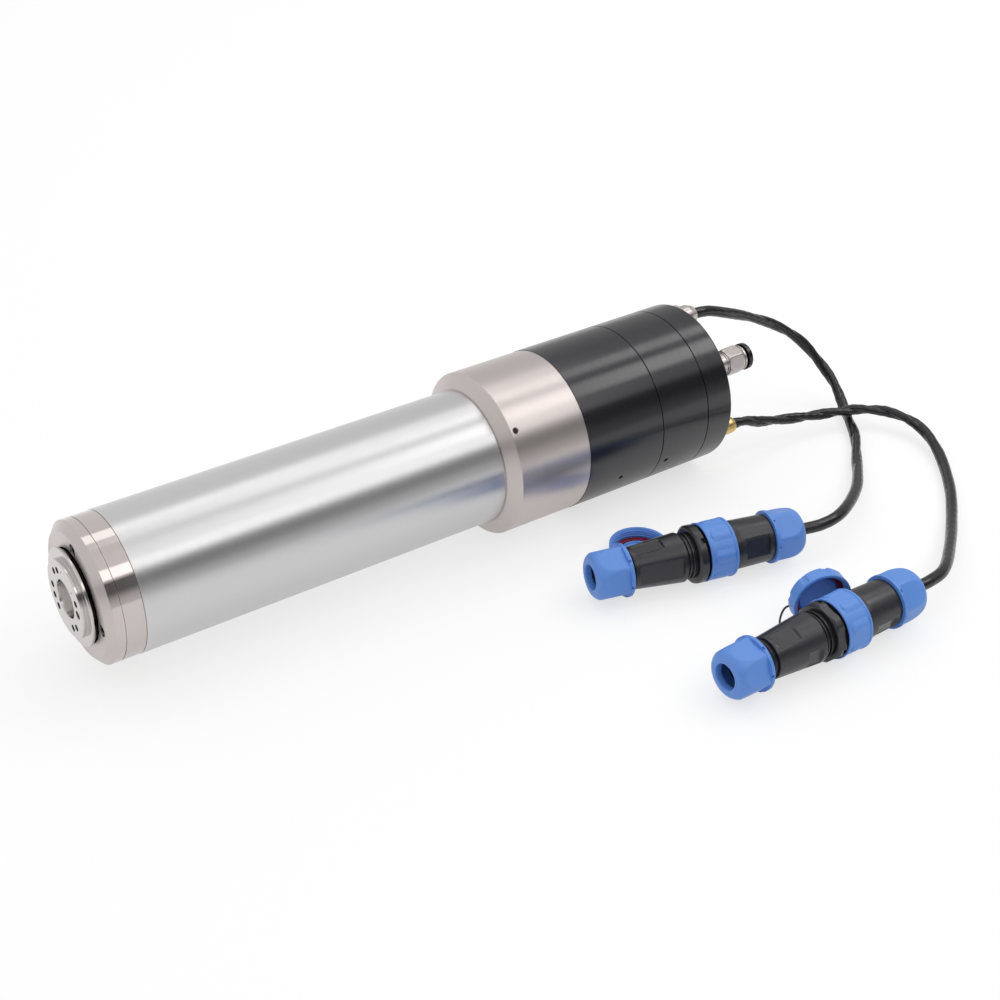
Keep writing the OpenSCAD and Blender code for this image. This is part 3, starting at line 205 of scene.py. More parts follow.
# What each finish is made of, by the name of its material slot.
FINISHES = {
    "ground_steel": dict(
        color=(0.63, 0.625, 0.625), metallic=1.0, rough=0.34, rough_spread=0.03, tint=0.02, lines=(700, 9, 9),
        detail=8, bump=0.07, bump_mm=0.02, blotch=9, blotch_rough=0.02, marks=0.03, turned=0.7),
    "rotor_steel": dict(
        color=(0.61, 0.585, 0.57), metallic=1.0, rough=0.14, rough_spread=0.04, tint=0.04, lines=(1200, 14, 14),
        # painted shade: the flange's land behind its rim is painted near black
        detail=6, bump=0.12, bump_mm=0.03, blotch=30, blotch_rough=0.03, painted_shade=(2.45, 26, 20, 26)),
    "bearing_steel": dict(
        color=(0.62, 0.62, 0.63), metallic=1.0, rough=0.12, rough_spread=0.03, tint=0.03, lines=(900, 20, 20),
        detail=5, bump=0.1, bump_mm=0.02),
    "spring_steel": dict(
        color=(0.36, 0.36, 0.37), metallic=1.0, rough=0.3, rough_spread=0.06, tint=0.08, lines=(300, 80, 80),
        detail=6, bump=0.2, bump_mm=0.04),
    "nickel_plate": dict(
        color=(0.59, 0.535, 0.515), metallic=1.0, rough=0.35, rough_spread=0.035, tint=0.03, lines=(620, 7, 7),
        detail=8, bump=0.12, bump_mm=0.02, blotch=11, blotch_rough=0.025, marks=0.04, polished=(8.4, 25.0, 0.32),
        # painted shade: the nose cap's bore behind the flange is painted near black
        turned=0.72, painted_shade=(4.6, 30, 0, 26.6)),
    "lamination_steel": dict(
        color=(0.2, 0.2, 0.21), metallic=0.8, rough=0.45, rough_spread=0.08, tint=0.12, lines=(2000, 6, 6),
        detail=3, bump=0.5, bump_mm=0.1),
    "copper_winding": dict(
        color=(0.52, 0.2, 0.07), metallic=0.7, rough=0.3, rough_spread=0.08, tint=0.2, lines=(60, 900, 900),
        detail=3, bump=0.6, bump_mm=0.2),
    "machined_aluminium": dict(
        color=(0.62, 0.62, 0.63), metallic=1.0, rough=0.3, rough_spread=0.06, tint=0.05, lines=(800, 10, 10),
        detail=6, bump=0.25, bump_mm=0.04),
    "black_anodised": dict(
        color=(0.003, 0.003, 0.0065), metallic=0.0, rough=0.24, rough_spread=0.02, tint=0.25, lines=(520, 8, 8),
        detail=7, bump=0.03, bump_mm=0.01, blotch=16, blotch_rough=0.02, sockets={"IOR": 1.66}, turned=0.6),
    "black_oxide_steel": dict(
        color=(0.06, 0.06, 0.065), metallic=0.9, rough=0.34, rough_spread=0.06, tint=0.12, lines=(500, 60, 60),
        detail=6, bump=0.2, bump_mm=0.04),
    "gold_contact": dict(
        color=(0.72, 0.5, 0.18), metallic=1.0, rough=0.22, rough_spread=0.05, tint=0.05, lines=(900, 30, 30),
        detail=5, bump=0.1, bump_mm=0.02),
    "brass_part": dict(
        color=(0.66, 0.47, 0.2), metallic=1.0, rough=0.26, rough_spread=0.05, tint=0.06, lines=(900, 20, 20),
        detail=6, bump=0.2, bump_mm=0.03),
    "blue_plastic": dict(
        color=(0.115, 0.285, 0.74), metallic=0.0, rough=0.4, rough_spread=0.05, tint=0.05, lines=(260, 260, 260),
        detail=6, bump=0.12, bump_mm=0.05, blotch=40, blotch_rough=0.03, marks=0.05, speckle=0.25),
    "black_plastic": dict(
        color=(0.011, 0.011, 0.017), metallic=0.0, rough=0.32, rough_spread=0.06, tint=0.25, lines=(240, 240, 240),
        detail=7, bump=0.16, bump_mm=0.05, blotch=35, blotch_rough=0.05, marks=0.12, speckle=0.3,
        sockets={"IOR": 1.58}),
    "black_release": dict(
        color=(0.008, 0.008, 0.009), metallic=0.0, rough=0.18, rough_spread=0.04, tint=0.2, lines=(150, 150, 150),
        detail=4, bump=0.06, bump_mm=0.03, blotch=40, blotch_rough=0.02),
    "seal_rubber": dict(
        color=(0.014, 0.014, 0.015), metallic=0.0, rough=0.62, rough_spread=0.08, tint=0.2, lines=(400, 400, 400),
        detail=7, bump=0.25, bump_mm=0.05, blotch=30, blotch_rough=0.05, speckle=0.3),
    "red_rubber": dict(
        color=(0.2, 0.008, 0.02), metallic=0.0, rough=0.45, rough_spread=0.07, tint=0.12, lines=(400, 400, 400),
        detail=6, bump=0.2, bump_mm=0.05),
    "cable_jacket": dict(
        color=(0.009, 0.009, 0.011), metallic=0.0, rough=0.2, rough_spread=0.04, tint=0.3, lines=(110, 110, 110),
        detail=4, bump=0.12, bump_mm=0.1, blotch=55, blotch_rough=0.04, marks=0.08),
}
MATERIAL = {name: surface(name, **finish) for name, finish in FINISHES.items()}
slot_of = {row["node"]: row["material_slot"] for row in frame["record"]["subparts"]}
for node_name, node_object in frame["nodes"].items():
    material = MATERIAL[slot_of[node_name]]
    if node_object.material_slots:
        for material_slot in node_object.material_slots:
            material_slot.material = material
    else:
        node_object.data.materials.append(material)

# Mesh helpers


def link_mesh(name, bm, body, slot, nodes, sharp=32.0):
    """Makes an object from a bmesh in millimetres, rides it on its body and hides the nodes it stands for."""
    bmesh.ops.remove_doubles(bm, verts=bm.verts, dist=1e-5)
    bmesh.ops.recalc_face_normals(bm, faces=bm.faces)
    bm.transform(Matrix.Scale(MM, 4))
    limit = math.radians(sharp)
    for face in bm.faces:
        face.smooth = True
    for edge in bm.edges:
        edge.smooth = len(edge.link_faces) == 2 and edge.calc_face_angle(0.0) < limit
    mesh = bpy.data.meshes.new(name)
    bm.to_mesh(mesh)
    bm.free()
    mesh.materials.append(MATERIAL[slot])
    piece = bpy.data.objects.new(name, mesh)
    scene.collection.objects.link(piece)
    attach(piece, body)
    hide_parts(*nodes)
    return piece


def rounded(corners, default=0.25, steps=3, support=0.06):
    """A closed outline of (x, r[, radius]) corners with each corner rounded, and held by close support points."""
    points = []
    count = len(corners)
    for i, corner in enumerate(corners):
        here = Vector(corner[:2])
        back = Vector(corners[i - 1][:2]) - here
        on = Vector(corners[(i + 1) % count][:2]) - here
        radius = corner[2] if len(corner) > 2 else default
        reach_back, reach_on = back.length, on.length
        back.normalize()
        on.normalize()
        bend = math.pi - back.angle(on, math.pi)
        if radius <= 0 or bend < 0.05:
            points.append(here)
            continue
        cut = min(radius * math.tan(bend / 2), 0.45 * reach_back, 0.45 * reach_on)
        start, end = here + back * cut, here + on * cut
        if cut + support < 0.5 * reach_back:
            points.append(here + back * (cut + support))
        for k in range(steps + 1):
            t = k / steps
            points.append(start * (1 - t) ** 2 + here * 2 * t * (1 - t) + end * t ** 2)
        if cut + support < 0.5 * reach_on:
            points.append(here + on * (cut + support))
    return [(p[0], p[1]) for p in points]


def spun(outline, segments, shape=None):
    """Turns a closed outline of (x, r) points about the X axis. shape(x, r, angle) may change the radius."""
    bm = bmesh.new()
    rows = []
    for x, r in outline:
        if r < 1e-6:
            rows.append([bm.verts.new((x, 0, 0))] * segments)
            continue
        row = []
        for k in range(segments):
            angle = 2 * math.pi * k / segments
            radius = shape(x, r, angle) if shape else r
            row.append(bm.verts.new((x, radius * math.cos(angle), radius * math.sin(angle))))
        rows.append(row)
    for low, high in zip(rows, rows[1:] + rows[:1]):
        for k in range(segments):
            j = (k + 1) % segments
            corners = []
            for vert in (low[k], low[j], high[j], high[k]):
                if vert not in corners:
                    corners.append(vert)
            if len(corners) > 2:
                bm.faces.new(corners)
    return bm


def prism(points, x0, x1):
    """A prism along X from a list of (y, z) points."""
    bm = bmesh.new()
    low = [bm.verts.new((x0, y, z)) for y, z in points]
    high = [bm.verts.new((x1, y, z)) for y, z in points]
    bm.faces.new(low[::-1])
    bm.faces.new(high)
    for k in range(len(points)):
        j = (k + 1) % len(points)
        bm.faces.new((low[k], low[j], high[j], high[k]))
    return bm


def circle(r, segments, off, angle):
    """Points of a circle that stands off the axis, at an angle."""
    a = math.radians(angle)
    y, z = off * math.cos(a), off * math.sin(a)
    return [(y + r * math.cos(2 * math.pi * k / segments), z + r * math.sin(2 * math.pi * k / segments))
            for k in range(segments)]


def block(size, place):
    """A cutter box of a size with its centre at a place."""
    bm = bmesh.new()
    bmesh.ops.create_cube(bm, size=1.0)
    bm.transform(Matrix.Translation(place) @ Matrix.Diagonal((*size, 1)))
    return bm


def moved(bm, matrix):
    bm.transform(matrix)
    return bm


def carved(bm, cutters):
    """Cuts the cutters out of a bmesh, in millimetres, and gives the result."""
    objects = []
    for part in [bm] + cutters:
        bmesh.ops.remove_doubles(part, verts=part.verts, dist=1e-5)
        bmesh.ops.recalc_face_normals(part, faces=part.faces)
        mesh = bpy.data.meshes.new("cut")
        part.to_mesh(mesh)
        part.free()
        thing = bpy.data.objects.new("cut", mesh)
        scene.collection.objects.link(thing)
        objects.append(thing)
    target = objects[0]
    for tool in objects[1:]:
        modifier = target.modifiers.new("cut", "BOOLEAN")
        modifier.operation = "DIFFERENCE"
        modifier.solver = "EXACT"
        modifier.object = tool
    graph = bpy.context.evaluated_depsgraph_get()
    graph.update()
    result = bmesh.new()
    result.from_mesh(target.evaluated_get(graph).to_mesh())
    for thing in objects:
        mesh = thing.data
        bpy.data.objects.remove(thing)
        bpy.data.meshes.remove(mesh)
    return result


def joined(parts):
    """Several bmeshes in one."""
    whole = parts[0]
    for part in parts[1:]:
        mesh = bpy.data.meshes.new("join")
        part.to_mesh(mesh)
        part.free()
        whole.from_mesh(mesh)
        bpy.data.meshes.remove(mesh)
    return whole


def smooth_min(a, b, k):
    """The lesser of two numbers, rounded over where they meet."""
    h = max(k - abs(a - b), 0.0) / k
    return min(a, b) - h * h * k / 4


def smooth_step(a, b, x):
    """Rises smoothly from 0 at a to 1 at b."""
    t = min(max((x - a) / (b - a), 0.0), 1.0)
    return t * t * (3 - 2 * t)


def polygon_radius(angle, flats, across, roll):
    """Radius of a regular polygon at an angle, from its width across the flats."""
    step = 2 * math.pi / flats
    a = (angle - math.radians(roll)) % step - step / 2
    return across / 2 / math.cos(a)


# Cords

ROUTE_A = [
    (436, 10, 36.2), (450, 10.5, 31), (476, 13.5, 19), (500, 13.5, 6), (517, 8, -7),
    (526, -2, -20.5), (529.5, -15.5, -33), (525, -31, -43), (518, -44, -45.5), (508, -59, -45.6),
    (488, -81, -45), (457, -111.5, -38.5), (424, -133, -32.5), (403, -137.2, -31.8),
]
ROUTE_B = [
    (436, -32.8, -23), (448, -32.5, -27.5), (470, -31.8, -33.5), (491, -33.8, -37), (509, -38.5, -37.8),
    (518, -42, -37.6), (527, -47, -37.6), (537, -57, -37.8), (543, -71, -39), (543, -85, -41),
    (537, -102, -43.6), (525, -121, -45.6), (507, -142.5, -45.6), (484, -164.5, -44.5),
    (457, -187.5, -39.5), (430, -207.5, -33.5), (413, -213, -31.8),
]
CABLE_R = 3.5
S_CABLE_END = S_NUT + 14 + 2.5
# Steps between two route points in a coarse path and in the mesh, and the spacing of the mesh's rings
COARSE_STEPS, FINE_STEPS, RING_SPACING = 2, 24, 0.9


def smooth_route(points, steps):
    """Points of a smooth curve through the given ones."""
    points = [Vector(p) for p in points]
    last = len(points) - 1
    result = []
    for i in range(last):
        a, b, c, d = points[max(i - 1, 0)], points[i], points[i + 1], points[min(i + 2, last)]
        for k in range(steps):
            t = k / steps
            result.append(0.5 * (2 * b + (c - a) * t + (2 * a - 5 * b + 4 * c - d) * t * t
                                 + (3 * b - a - 3 * c + d) * t ** 3))
    result.append(points[last])
    return result


def even_route(points, spacing):
    """The same line with evenly spaced points."""
    result = [points[0]]
    carry = 0.0
    for a, b in zip(points, points[1:]):
        span = (b - a).length
        reach = spacing - carry
        while reach <= span:
            result.append(a.lerp(b, reach / span))
            reach += spacing
        carry = span - (reach - spacing)
    result[-1] = points[-1]
    return result


def route_length(points):
    return sum((b - a).length for a, b in zip(points, points[1:]))


def skinned(bm, rows):
    """Joins rings of points into a tube with flat ends."""
    for low, high in zip(rows, rows[1:]):
        for k in range(len(low)):
            j = (k + 1) % len(low)
            bm.faces.new((low[k], low[j], high[j], high[k]))
    bm.faces.new(rows[0][::-1])
    bm.faces.new(rows[-1])
    return bm


def jacket(route, first, last, twist_at, segments=40):
    """A thin sleeve drawn over twisted wires: its section is pinched between them and turns along the cable.

    first and last are its directions at its ends. twist_at gives, for a share of the length, how deep the pinch is
    and how high the small wrinkles are, as shares of the radius, with the twist's pitch between them.
    """
    bm = bmesh.new()
    count = len(route)
    total = route_length(route)
    side = first.cross(Vector((0, 0, 1))).normalized()
    rows = []
    run = 0.0
    twist = 0.0
    for i, centre in enumerate(route):
        step = (centre - route[i - 1]).length if i else 0.0
        run += step
        along = first if i == 0 else last if i == count - 1 else (route[i + 1] - route[i - 1]).normalized()
        side = (side - along * side.dot(along)).normalized()
        top = along.cross(side)
        depth, pitch, wrinkle = twist_at(run / total)
        twist += 2 * math.pi * step / pitch
        row = []
        for k in range(segments):
            a = 2 * math.pi * k / segments
            pinch = depth * (1 - abs(math.sin(a - twist)) ** 0.8)
            fold = wrinkle * math.sin(3 * a - 1.7 * twist + 0.25 * run) * math.sin(0.9 * run + 2 * a)
            r = CABLE_R * (1.0 - pinch + fold)
            row.append(bm.verts.new(centre + side * (r * math.cos(a)) + top * (r * math.sin(a))))
        rows.append(row)
    return skinned(bm, rows)


def twist_a(t):
    """Cable a: nearly round at its ends, a few long folds on its way down."""
    middle = smooth_step(0.02, 0.2, t) * (1 - smooth_step(0.62, 0.75, t))
    depth, pitch, wrinkle = 0.02 + 0.24 * middle, 66.0 + 20 * math.sin(13 * t), 0.01 + 0.012 * middle
    return depth, pitch, wrinkle


def twist_b(t):
    """Cable b: strongly twisted at its gland, round at its plug."""
    start = smooth_step(0.0, 0.03, t) * (1 - smooth_step(0.3, 0.55, t))
    depth, pitch, wrinkle = 0.03 + 0.36 * start, 46.0 + 30 * t + 14 * math.sin(17 * t), 0.012 + 0.02 * start
    return depth, pitch, wrinkle


def cable(name, angle, route, inside, heading, twist_at):
    """A cable from the mouth of its gland to its end inside the plug."""
    start = polar(X_GLAND_MOUTH, PORT_R, angle)
    points = [start, *route, inside @ Vector((S_CABLE_END, 0, 0))]
    dense = even_route(smooth_route(points, FINE_STEPS), RING_SPACING)
    h = math.radians(heading)
    bm = jacket(dense, Vector((1, 0, 0)), Vector((-math.cos(h), -math.sin(h), 0)), twist_at)
    piece = link_mesh(name + "_jacket", bm, "housing", "cable_jacket", [name], sharp=60)


# The pieces on each cable are listed here as they are made.
on_cord = {"a": [], "b": []}

# Nose


def holes(places, r, x0, x1, segments=28):
    """Round cutters along X at (radius, angle) places."""
    return [prism(circle(r, segments, off, angle), x0, x1) for off, angle in places]


def radial_hole(x, angle, r_in, r, segments=28, flare=0.0, surface_r=0.0):
    """A round cutter that points away from the axis, with an optional flare where it meets the surface."""
    rim = [(CUTTER_R, r)]
    if flare:
        rim = [(surface_r - flare, r), (CUTTER_R, r + (CUTTER_R - surface_r + flare))]
    bm = spun([(r_in, 0), (r_in, r), *rim, (CUTTER_R, 0)], segments)
    return moved(bm, Matrix.Translation((x, 0, 0)) @ turn(angle, "X") @ turn(90, "Z"))


MOUTH_R, X_MOUTH_FLOOR, LAND_R = 26.5, 8.8, 22.7
SCREWS_NOSE = [(30.5, 98 + 90 * k) for k in range(4)]
cap = spun(rounded([
    (X_CAP, MOUTH_R, 0.15), (X_CAP, 35.3, 0.6), (X_CAP + 3.8, NOSE_R, 0.6), (X_CAP_END, NOSE_R, 0.2),
    (X_CAP_END, SPIGOT_R, 0), (X_SPIGOT_END, SPIGOT_R, 0), (X_SPIGOT_END, LAND_R, 0), (X_MOUTH_FLOOR, LAND_R, 0.2),
    (X_MOUTH_FLOOR, MOUTH_R, 0.2)]), NOSE_SIDES)
cap = carved(cap, holes(SCREWS_NOSE, r=3.5, x0=4.0, x1=8.0) + holes(SCREWS_NOSE, r=SCREW_SHANK_R, x0=7.5, x1=27.0))
link_mesh("nose_cap_turned", cap, "housing", "nickel_plate", ["nose_cap"])


def socket_screws(x_top, places, head_r, head_t, length, across, flip=False):
    """Socket head screws whose heads start at x_top. Their shanks run along +X, or along -X when flipped."""
    parts = []
    key_r, key_depth = across / math.sqrt(3), head_t * 0.5
    for off, angle in places:
        screw = spun(rounded([(0, 0, 0), (0, head_r, 0.35), (head_t, head_r, 0.15), (head_t, SCREW_SHANK_R, 0.1),
                              (length, SCREW_SHANK_R, 0.3), (length, 0, 0)], steps=2), 36)
        screw = carved(screw, [spun([(-0.5, 0), (-0.5, key_r), (key_depth, key_r), (key_depth + 0.4, 0)], 6)])
        facing = turn(180, "Z") if flip else Matrix.Identity(4)
        parts.append(moved(screw, Matrix.Translation(polar(x_top, off, angle)) @ facing))
    return joined(parts)


def seam(x, r, side, width=SEAM, depth=SEAM_DEPTH, edge=SEAM_EDGE):
    """Outline corners beside a seam at x: those of the section before it (side -1) or after it (side 1)."""
    corners = [(x + side * width, r, edge), (x + side * width, r - depth, 0), (x, r - depth, 0)]
    return corners if side < 0 else corners[::-1]


heads = socket_screws(x_top=5.0, places=SCREWS_NOSE, head_r=3.3, head_t=3.0, length=14.0, across=2.5)
link_mesh("cap_screw_heads", heads, "housing", "black_oxide_steel", ["cap_screws"])

ring = spun(rounded([
    (X_CAP_END, SPIGOT_R, 0), *seam(X_CAP_END, NOSE_R, 1, NOSE_SEAM, NOSE_SEAM_DEPTH, NOSE_SEAM_EDGE),
    *seam(X_RING_END, NOSE_R, -1, RING_SEAM, NOSE_SEAM_DEPTH, NOSE_SEAM_EDGE), (X_RING_END, BORE_R, 0),
    (64, BORE_R, 0.3), (64, 28, 0.3), (54, 28, 0), (54, SPIGOT_R, 0)]), NOSE_SIDES)
link_mesh("front_ring_turned", ring, "housing", "nickel_plate", ["front_bearing_housing"])

shaft = spun(rounded([
    # the front disc and its sealing flange
    (-1.8, 11.1, 0.1), (-1.8, 21.6, 0.1), (-1.5, 21.9, 0.1), (0.8, 21.9, 0.2), (0.8, 26.9, 0.15), (1.2, 27.3, 0.15),
    (2.4, 27.3, 0.2), (2.4, 25.7, 0.1), (8, 25.7, 0.2), (8, 21.9, 0.2), (26, 21.9, 0.2), (26, 17.5, 0),
    # the seats of the bearings and of the motor's core
    (62, 17.5, 0.1), (62, 16.5, 0), (212, 16.5, 0.3), (212, 13.7, 0), (224, 13.7, 0.2), (224, 12.5, 0),
    (248, 12.5, 0), (248, 11.7, 0), (268, 11.7, 0.3), (268, 8.4, 0.2),
    # the bore, back to the front, and the open tool taper
    (132, 8.4, 0), (132, 4.6, 0.2), (46, 4.6, 0.2), (46, 7.208, 0), (26, 7.208, 0), (26, 6.708, 0.1),
    (-1.4, 10.7, 0.1)]), ROTOR_SIDES)
BALANCE_R, BALANCE_PITCH = 16.0, 22.5
BALANCE = [(BALANCE_R, 2 + BALANCE_PITCH * k) for k in (-6, -5, -2, -1, 0, 2, 3, 7)]
shaft = carved(shaft, holes(BALANCE, r=1.95, x0=-2.5, x1=0.4) + holes([(BALANCE_R, 182)], r=2.35, x0=-2.5, x1=0.4)
               + holes([(16.6, 89), (15.0, 137)], r=0.55, x0=-2.5, x1=-0.9, segments=16))
link_mesh("rotor_shaft_turned", shaft, "rotor", "rotor_steel", ["spindle_shaft"])

# Sleeve and collar

sleeve = spun(rounded([
    (X_RING_END, BORE_R, 0.2), (X_RING_END, BODY_R, 0.22), (X_SLEEVE_END, BODY_R, 0.15), (X_SLEEVE_END, SEAT_R, 0.1),
    (253, SEAT_R, 0.3), (253, BORE_R, 0.2)]), BODY_SIDES)
link_mesh("sleeve_ground", sleeve, "housing", "ground_steel", ["body_sleeve"])

CONE_R, X_CONE_END, X_SEAT_END, X_WALL, GUIDE_R = 41.2, 252.5, 258, 286, 10.05
collar = spun(rounded([
    (X_SLEEVE_END, SEAT_R, 0), (X_SLEEVE_END, CONE_R, 0.5), (X_CONE_END, COLLAR_R, 0.5),
    (X_COLLAR_END, COLLAR_R, 0.3), (X_COLLAR_END, GUIDE_R, 0.2), (X_WALL, GUIDE_R, 0.2), (X_WALL, INNER_R, 0.2),
    (X_SEAT_END, INNER_R, 0), (X_SEAT_END, SEAT_R, 0)]), BODY_SIDES)
collar = carved(collar, [radial_hole(x=255.7, angle=139, r_in=SEAT_R, r=1.65, segments=36, flare=0.45,
                                     surface_r=COLLAR_R)])
link_mesh("collar_turned", collar, "housing", "nickel_plate", ["collar"])

# Black rear sections

SCREWS_REAR = [(REAR_R - 5.2, angle) for angle in (110, 230, 350)]
AIR_WAY = [(PORT_R, ANGLE_AIR)]
AIR_WAY_R, SIDE_HOLE_R, SIDE_HOLE_ANGLE = 2, 1.4, 203

CYLINDER_R, X_CYLINDER_FLOOR, PUSHER_R = 38, 342, 6.05
cylinder = spun(rounded([
    (X_COLLAR_END, CYLINDER_R, 0), (X_COLLAR_END, REAR_R, 0.3), *seam(X_CYL_END, REAR_R, -1),
    (X_CYL_END, PUSHER_R, 0.1), (X_CYLINDER_FLOOR, PUSHER_R, 0.2), (X_CYLINDER_FLOOR, 41.5, 0), (340, 41.5, 0),
    (340, CYLINDER_R, 0.2)]), BODY_SIDES)
cylinder = carved(cylinder, [radial_hole(326.2, SIDE_HOLE_ANGLE, r_in=37, r=SIDE_HOLE_R)]
                  + holes(AIR_WAY, AIR_WAY_R, x0=341, x1=356) + holes(SCREWS_REAR, SCREW_SHANK_R, x0=342.5, x1=356))
link_mesh("cylinder_section", cylinder, "housing", "black_anodised", ["cylinder_housing"])

X_SENSOR_WALL, SENSOR_BORE_R = 358, 6.4
sensor = spun(rounded([
    (X_CYL_END, SENSOR_BORE_R, 0.2), *seam(X_CYL_END, REAR_R, 1), *seam(X_SENSOR_END, REAR_R, -1),
    (X_SENSOR_END, INNER_R, 0.2), (X_SENSOR_WALL, INNER_R, 0), (X_SENSOR_WALL, SENSOR_BORE_R, 0.2)]), BODY_SIDES)
sensor = carved(sensor, [radial_hole(360.6, SIDE_HOLE_ANGLE, r_in=33, r=SIDE_HOLE_R)]
                + holes(AIR_WAY, AIR_WAY_R, x0=353, x1=390) + holes(SCREWS_REAR, SCREW_SHANK_R, x0=353, x1=390))
link_mesh("sensor_section", sensor, "housing", "black_anodised", ["sensor_housing"])

X_CAP_WALL, X_BEHIND = 401, 409
rear = spun(rounded([
    (X_SENSOR_END, INNER_R, 0), *seam(X_SENSOR_END, REAR_R, 1), (X_REAR, REAR_R, 1.3), (X_REAR, 0, 0),
    (X_CAP_WALL, 0, 0), (X_CAP_WALL, INNER_R, 0)]), BODY_SIDES)
rear = carved(rear, holes(SCREWS_REAR, r=3.7, x0=403.5, x1=X_BEHIND)
              + holes(SCREWS_REAR, SCREW_SHANK_R, x0=388, x1=404)
              + holes([(PORT_R, ANGLE_A), (PORT_R, ANGLE_B)], r=5, x0=400, x1=X_BEHIND)
              + holes(AIR_WAY, r=6, x0=399.5, x1=X_BEHIND))
link_mesh("rear_cap_turned", rear, "housing", "black_anodised", ["rear_cap"])
heads = socket_screws(x_top=X_REAR - 0.2, places=SCREWS_REAR, head_r=3.5, head_t=3.8, length=63.8, across=3.0,
                      flip=True)
link_mesh("rear_screw_heads", heads, "housing", "black_oxide_steel", ["rear_screws"])

# Ports on the rear face


def turned_hex(x0, x1, across, crown, roll, bore, chamfer=1.2, segments=180, steps=14):
    """A hexagon along X, with a bore, whose corners are turned down at both ends."""
    outline = [(x0, bore), *[(x0 + (x1 - x0) * k / steps, crown) for k in range(steps + 1)], (x1, bore)]

    def shape(x, r, angle):
        if r < crown:
            return r
        reach = min(x - x0, x1 - x)
        top = crown if reach > chamfer else crown - (chamfer - reach) * 0.85
        return smooth_min(top, polygon_radius(angle, 6, across, roll), 0.25)

    return spun(outline, segments, shape)


at_air, at_gland_a, at_gland_b = (Matrix.Translation(polar(0, PORT_R, a)) for a in (ANGLE_AIR, ANGLE_A, ANGLE_B))
HOSE_R, GLAND_BORE_R = 5.05, 3.6
HEX_ROLL = 10
GLAND_MOUTH = [(X_GLAND_MOUTH, 4.6, 0.5), (X_GLAND_MOUTH, GLAND_BORE_R, 0.3)]

fitting = joined([
    spun(rounded([(399.5, 3), (399.5, 6), (407.5, 6, 0), (407.5, 6.6, 0.1), (412.6, 6.6, 0.2), (413.2, 7.2, 0.15),
                  (414.1, 7.2, 0), (414.1, 3, 0)], 0.2), PORT_SIDES),
    turned_hex(414.0, 425.5, across=15.4, crown=8.75, roll=12, bore=HOSE_R),
    spun(rounded([(425.4, 6.7, 0), (425.4, 7.2, 0), (426.1, 7.2, 0.1), (426.1, 7.7, 0.25), (427.5, 7.7, 0.4),
                  (427.5, 6.7, 0.2)], 0.2), PORT_SIDES),
])
link_mesh("air_fitting_body", moved(fitting, at_air), "housing", "nickel_plate", ["air_fitting"])
release = spun(rounded([(426.8, 5.25, 0), (426.8, 6.4, 0), (428.8, 6.4, 0), (428.8, 8.2, 0.35), (432.0, 8.2, 0.9),
                        (432.0, 5.25, 0.5)], 0.2), PORT_SIDES)
link_mesh("release_ring_moulded", moved(release, at_air), "release_ring", "black_release", ["release_ring"])

gland_a = joined([
    turned_hex(407.6, 413.2, across=15.4, crown=8.7, roll=HEX_ROLL, bore=GLAND_BORE_R),
    spun(rounded([(413.1, GLAND_BORE_R, 0), (413.1, 7.3, 0.2), (414.0, 7.3, 0.2), (414.0, 6.9, 0.1),
                  (418.6, 7.0, 1.2), (422.6, 5.6, 1.0), *GLAND_MOUTH], 0.2), PORT_SIDES),
])
link_mesh("cable_gland_a", moved(gland_a, at_gland_a), "housing", "nickel_plate", ["gland_a"])
gland_b = joined([
    turned_hex(407.6, 412.4, across=11.0, crown=6.25, roll=HEX_ROLL, bore=GLAND_BORE_R),
    spun(rounded([(412.3, GLAND_BORE_R, 0), (412.3, 5.2, 0.2), (421.4, 5.2, 0.9), *GLAND_MOUTH], 0.2), PORT_SIDES),
])
link_mesh("cable_gland_b", moved(gland_b, at_gland_b), "housing", "brass_part", ["gland_b"])

# Plug pairs


def gland_nut():
    """A gland nut from its flange face at x = 0 to its mouth at x = -21: notched flange, six flats, domed end."""
    thread_r, flange_r, barrel_r, mouth_r, x_bore = 11.35, 15.5, 15.15, 7.25, -17.0
    outline = rounded([(0, thread_r, 0.3), (0, flange_r, 0.45), (-2.1, flange_r, 0.4), (-2.1, barrel_r, 0)])
    barrel_steps, dome_steps = 25, 28
    for k in range(barrel_steps + 1):
        outline.append((-2.3 - 6.7 * k / barrel_steps, barrel_r))
    for k in range(1, dome_steps + 1):
        t = k / dome_steps
        outline.append((-9.0 - 11.7 * math.sin(t * math.pi / 2), 8.9 + 6.25 * math.cos(t * math.pi / 2) ** 0.72))
    outline += [(-20.95, 8.6), (-21.0, 8.3), (-20.95, 7.95), (-20.7, 7.5), (-20.2, mouth_r), (x_bore, mouth_r),
                (x_bore, thread_r)]

    def shape(x, r, angle):
        if x > -2.2 or r < 8.65 or x < -20.9:
            return r
        return smooth_min(r, polygon_radius(angle, 6, 27.1, 15), 0.14)

    nut = spun(outline, 240, shape)
    return carved(nut, [moved(block((1.3, 1.7, 2.2), (-1.5, 0, 15.6)), turn(60 * k + 30, "X")) for k in range(6)])


def recessed(x, r, angle, windows):
    """Radius of a round barrel with flat-bottomed windows (x0, x1, angle, half width, depth) sunk into it."""
    for x0, x1, at, half, depth in windows:
        a = (math.degrees(angle) - at + 180) % 360 - 180
        if abs(a) > 75 or not x0 - 1 < x < x1 + 1:
            continue
        across = r * math.sin(math.radians(a))
        plane = (r - depth) / math.cos(math.radians(a))
        edge = min(smooth_step(x0 - 0.3, x0 + 0.3, x), 1 - smooth_step(x1 - 0.3, x1 + 0.3, x))
        side = 1 - smooth_step(half - 0.3, half + 0.3, abs(across))
        if plane < r:
            r += (plane - r) * min(edge, side)
    return r


def fine(x0, r0, x1, r1, step=0.45):
    """Closely spaced outline points between two corners."""
    count = max(2, int(abs(x1 - x0) / step))
    return [(x0 + (x1 - x0) * k / count, r0 + (r1 - r0) * k / count) for k in range(count + 1)]


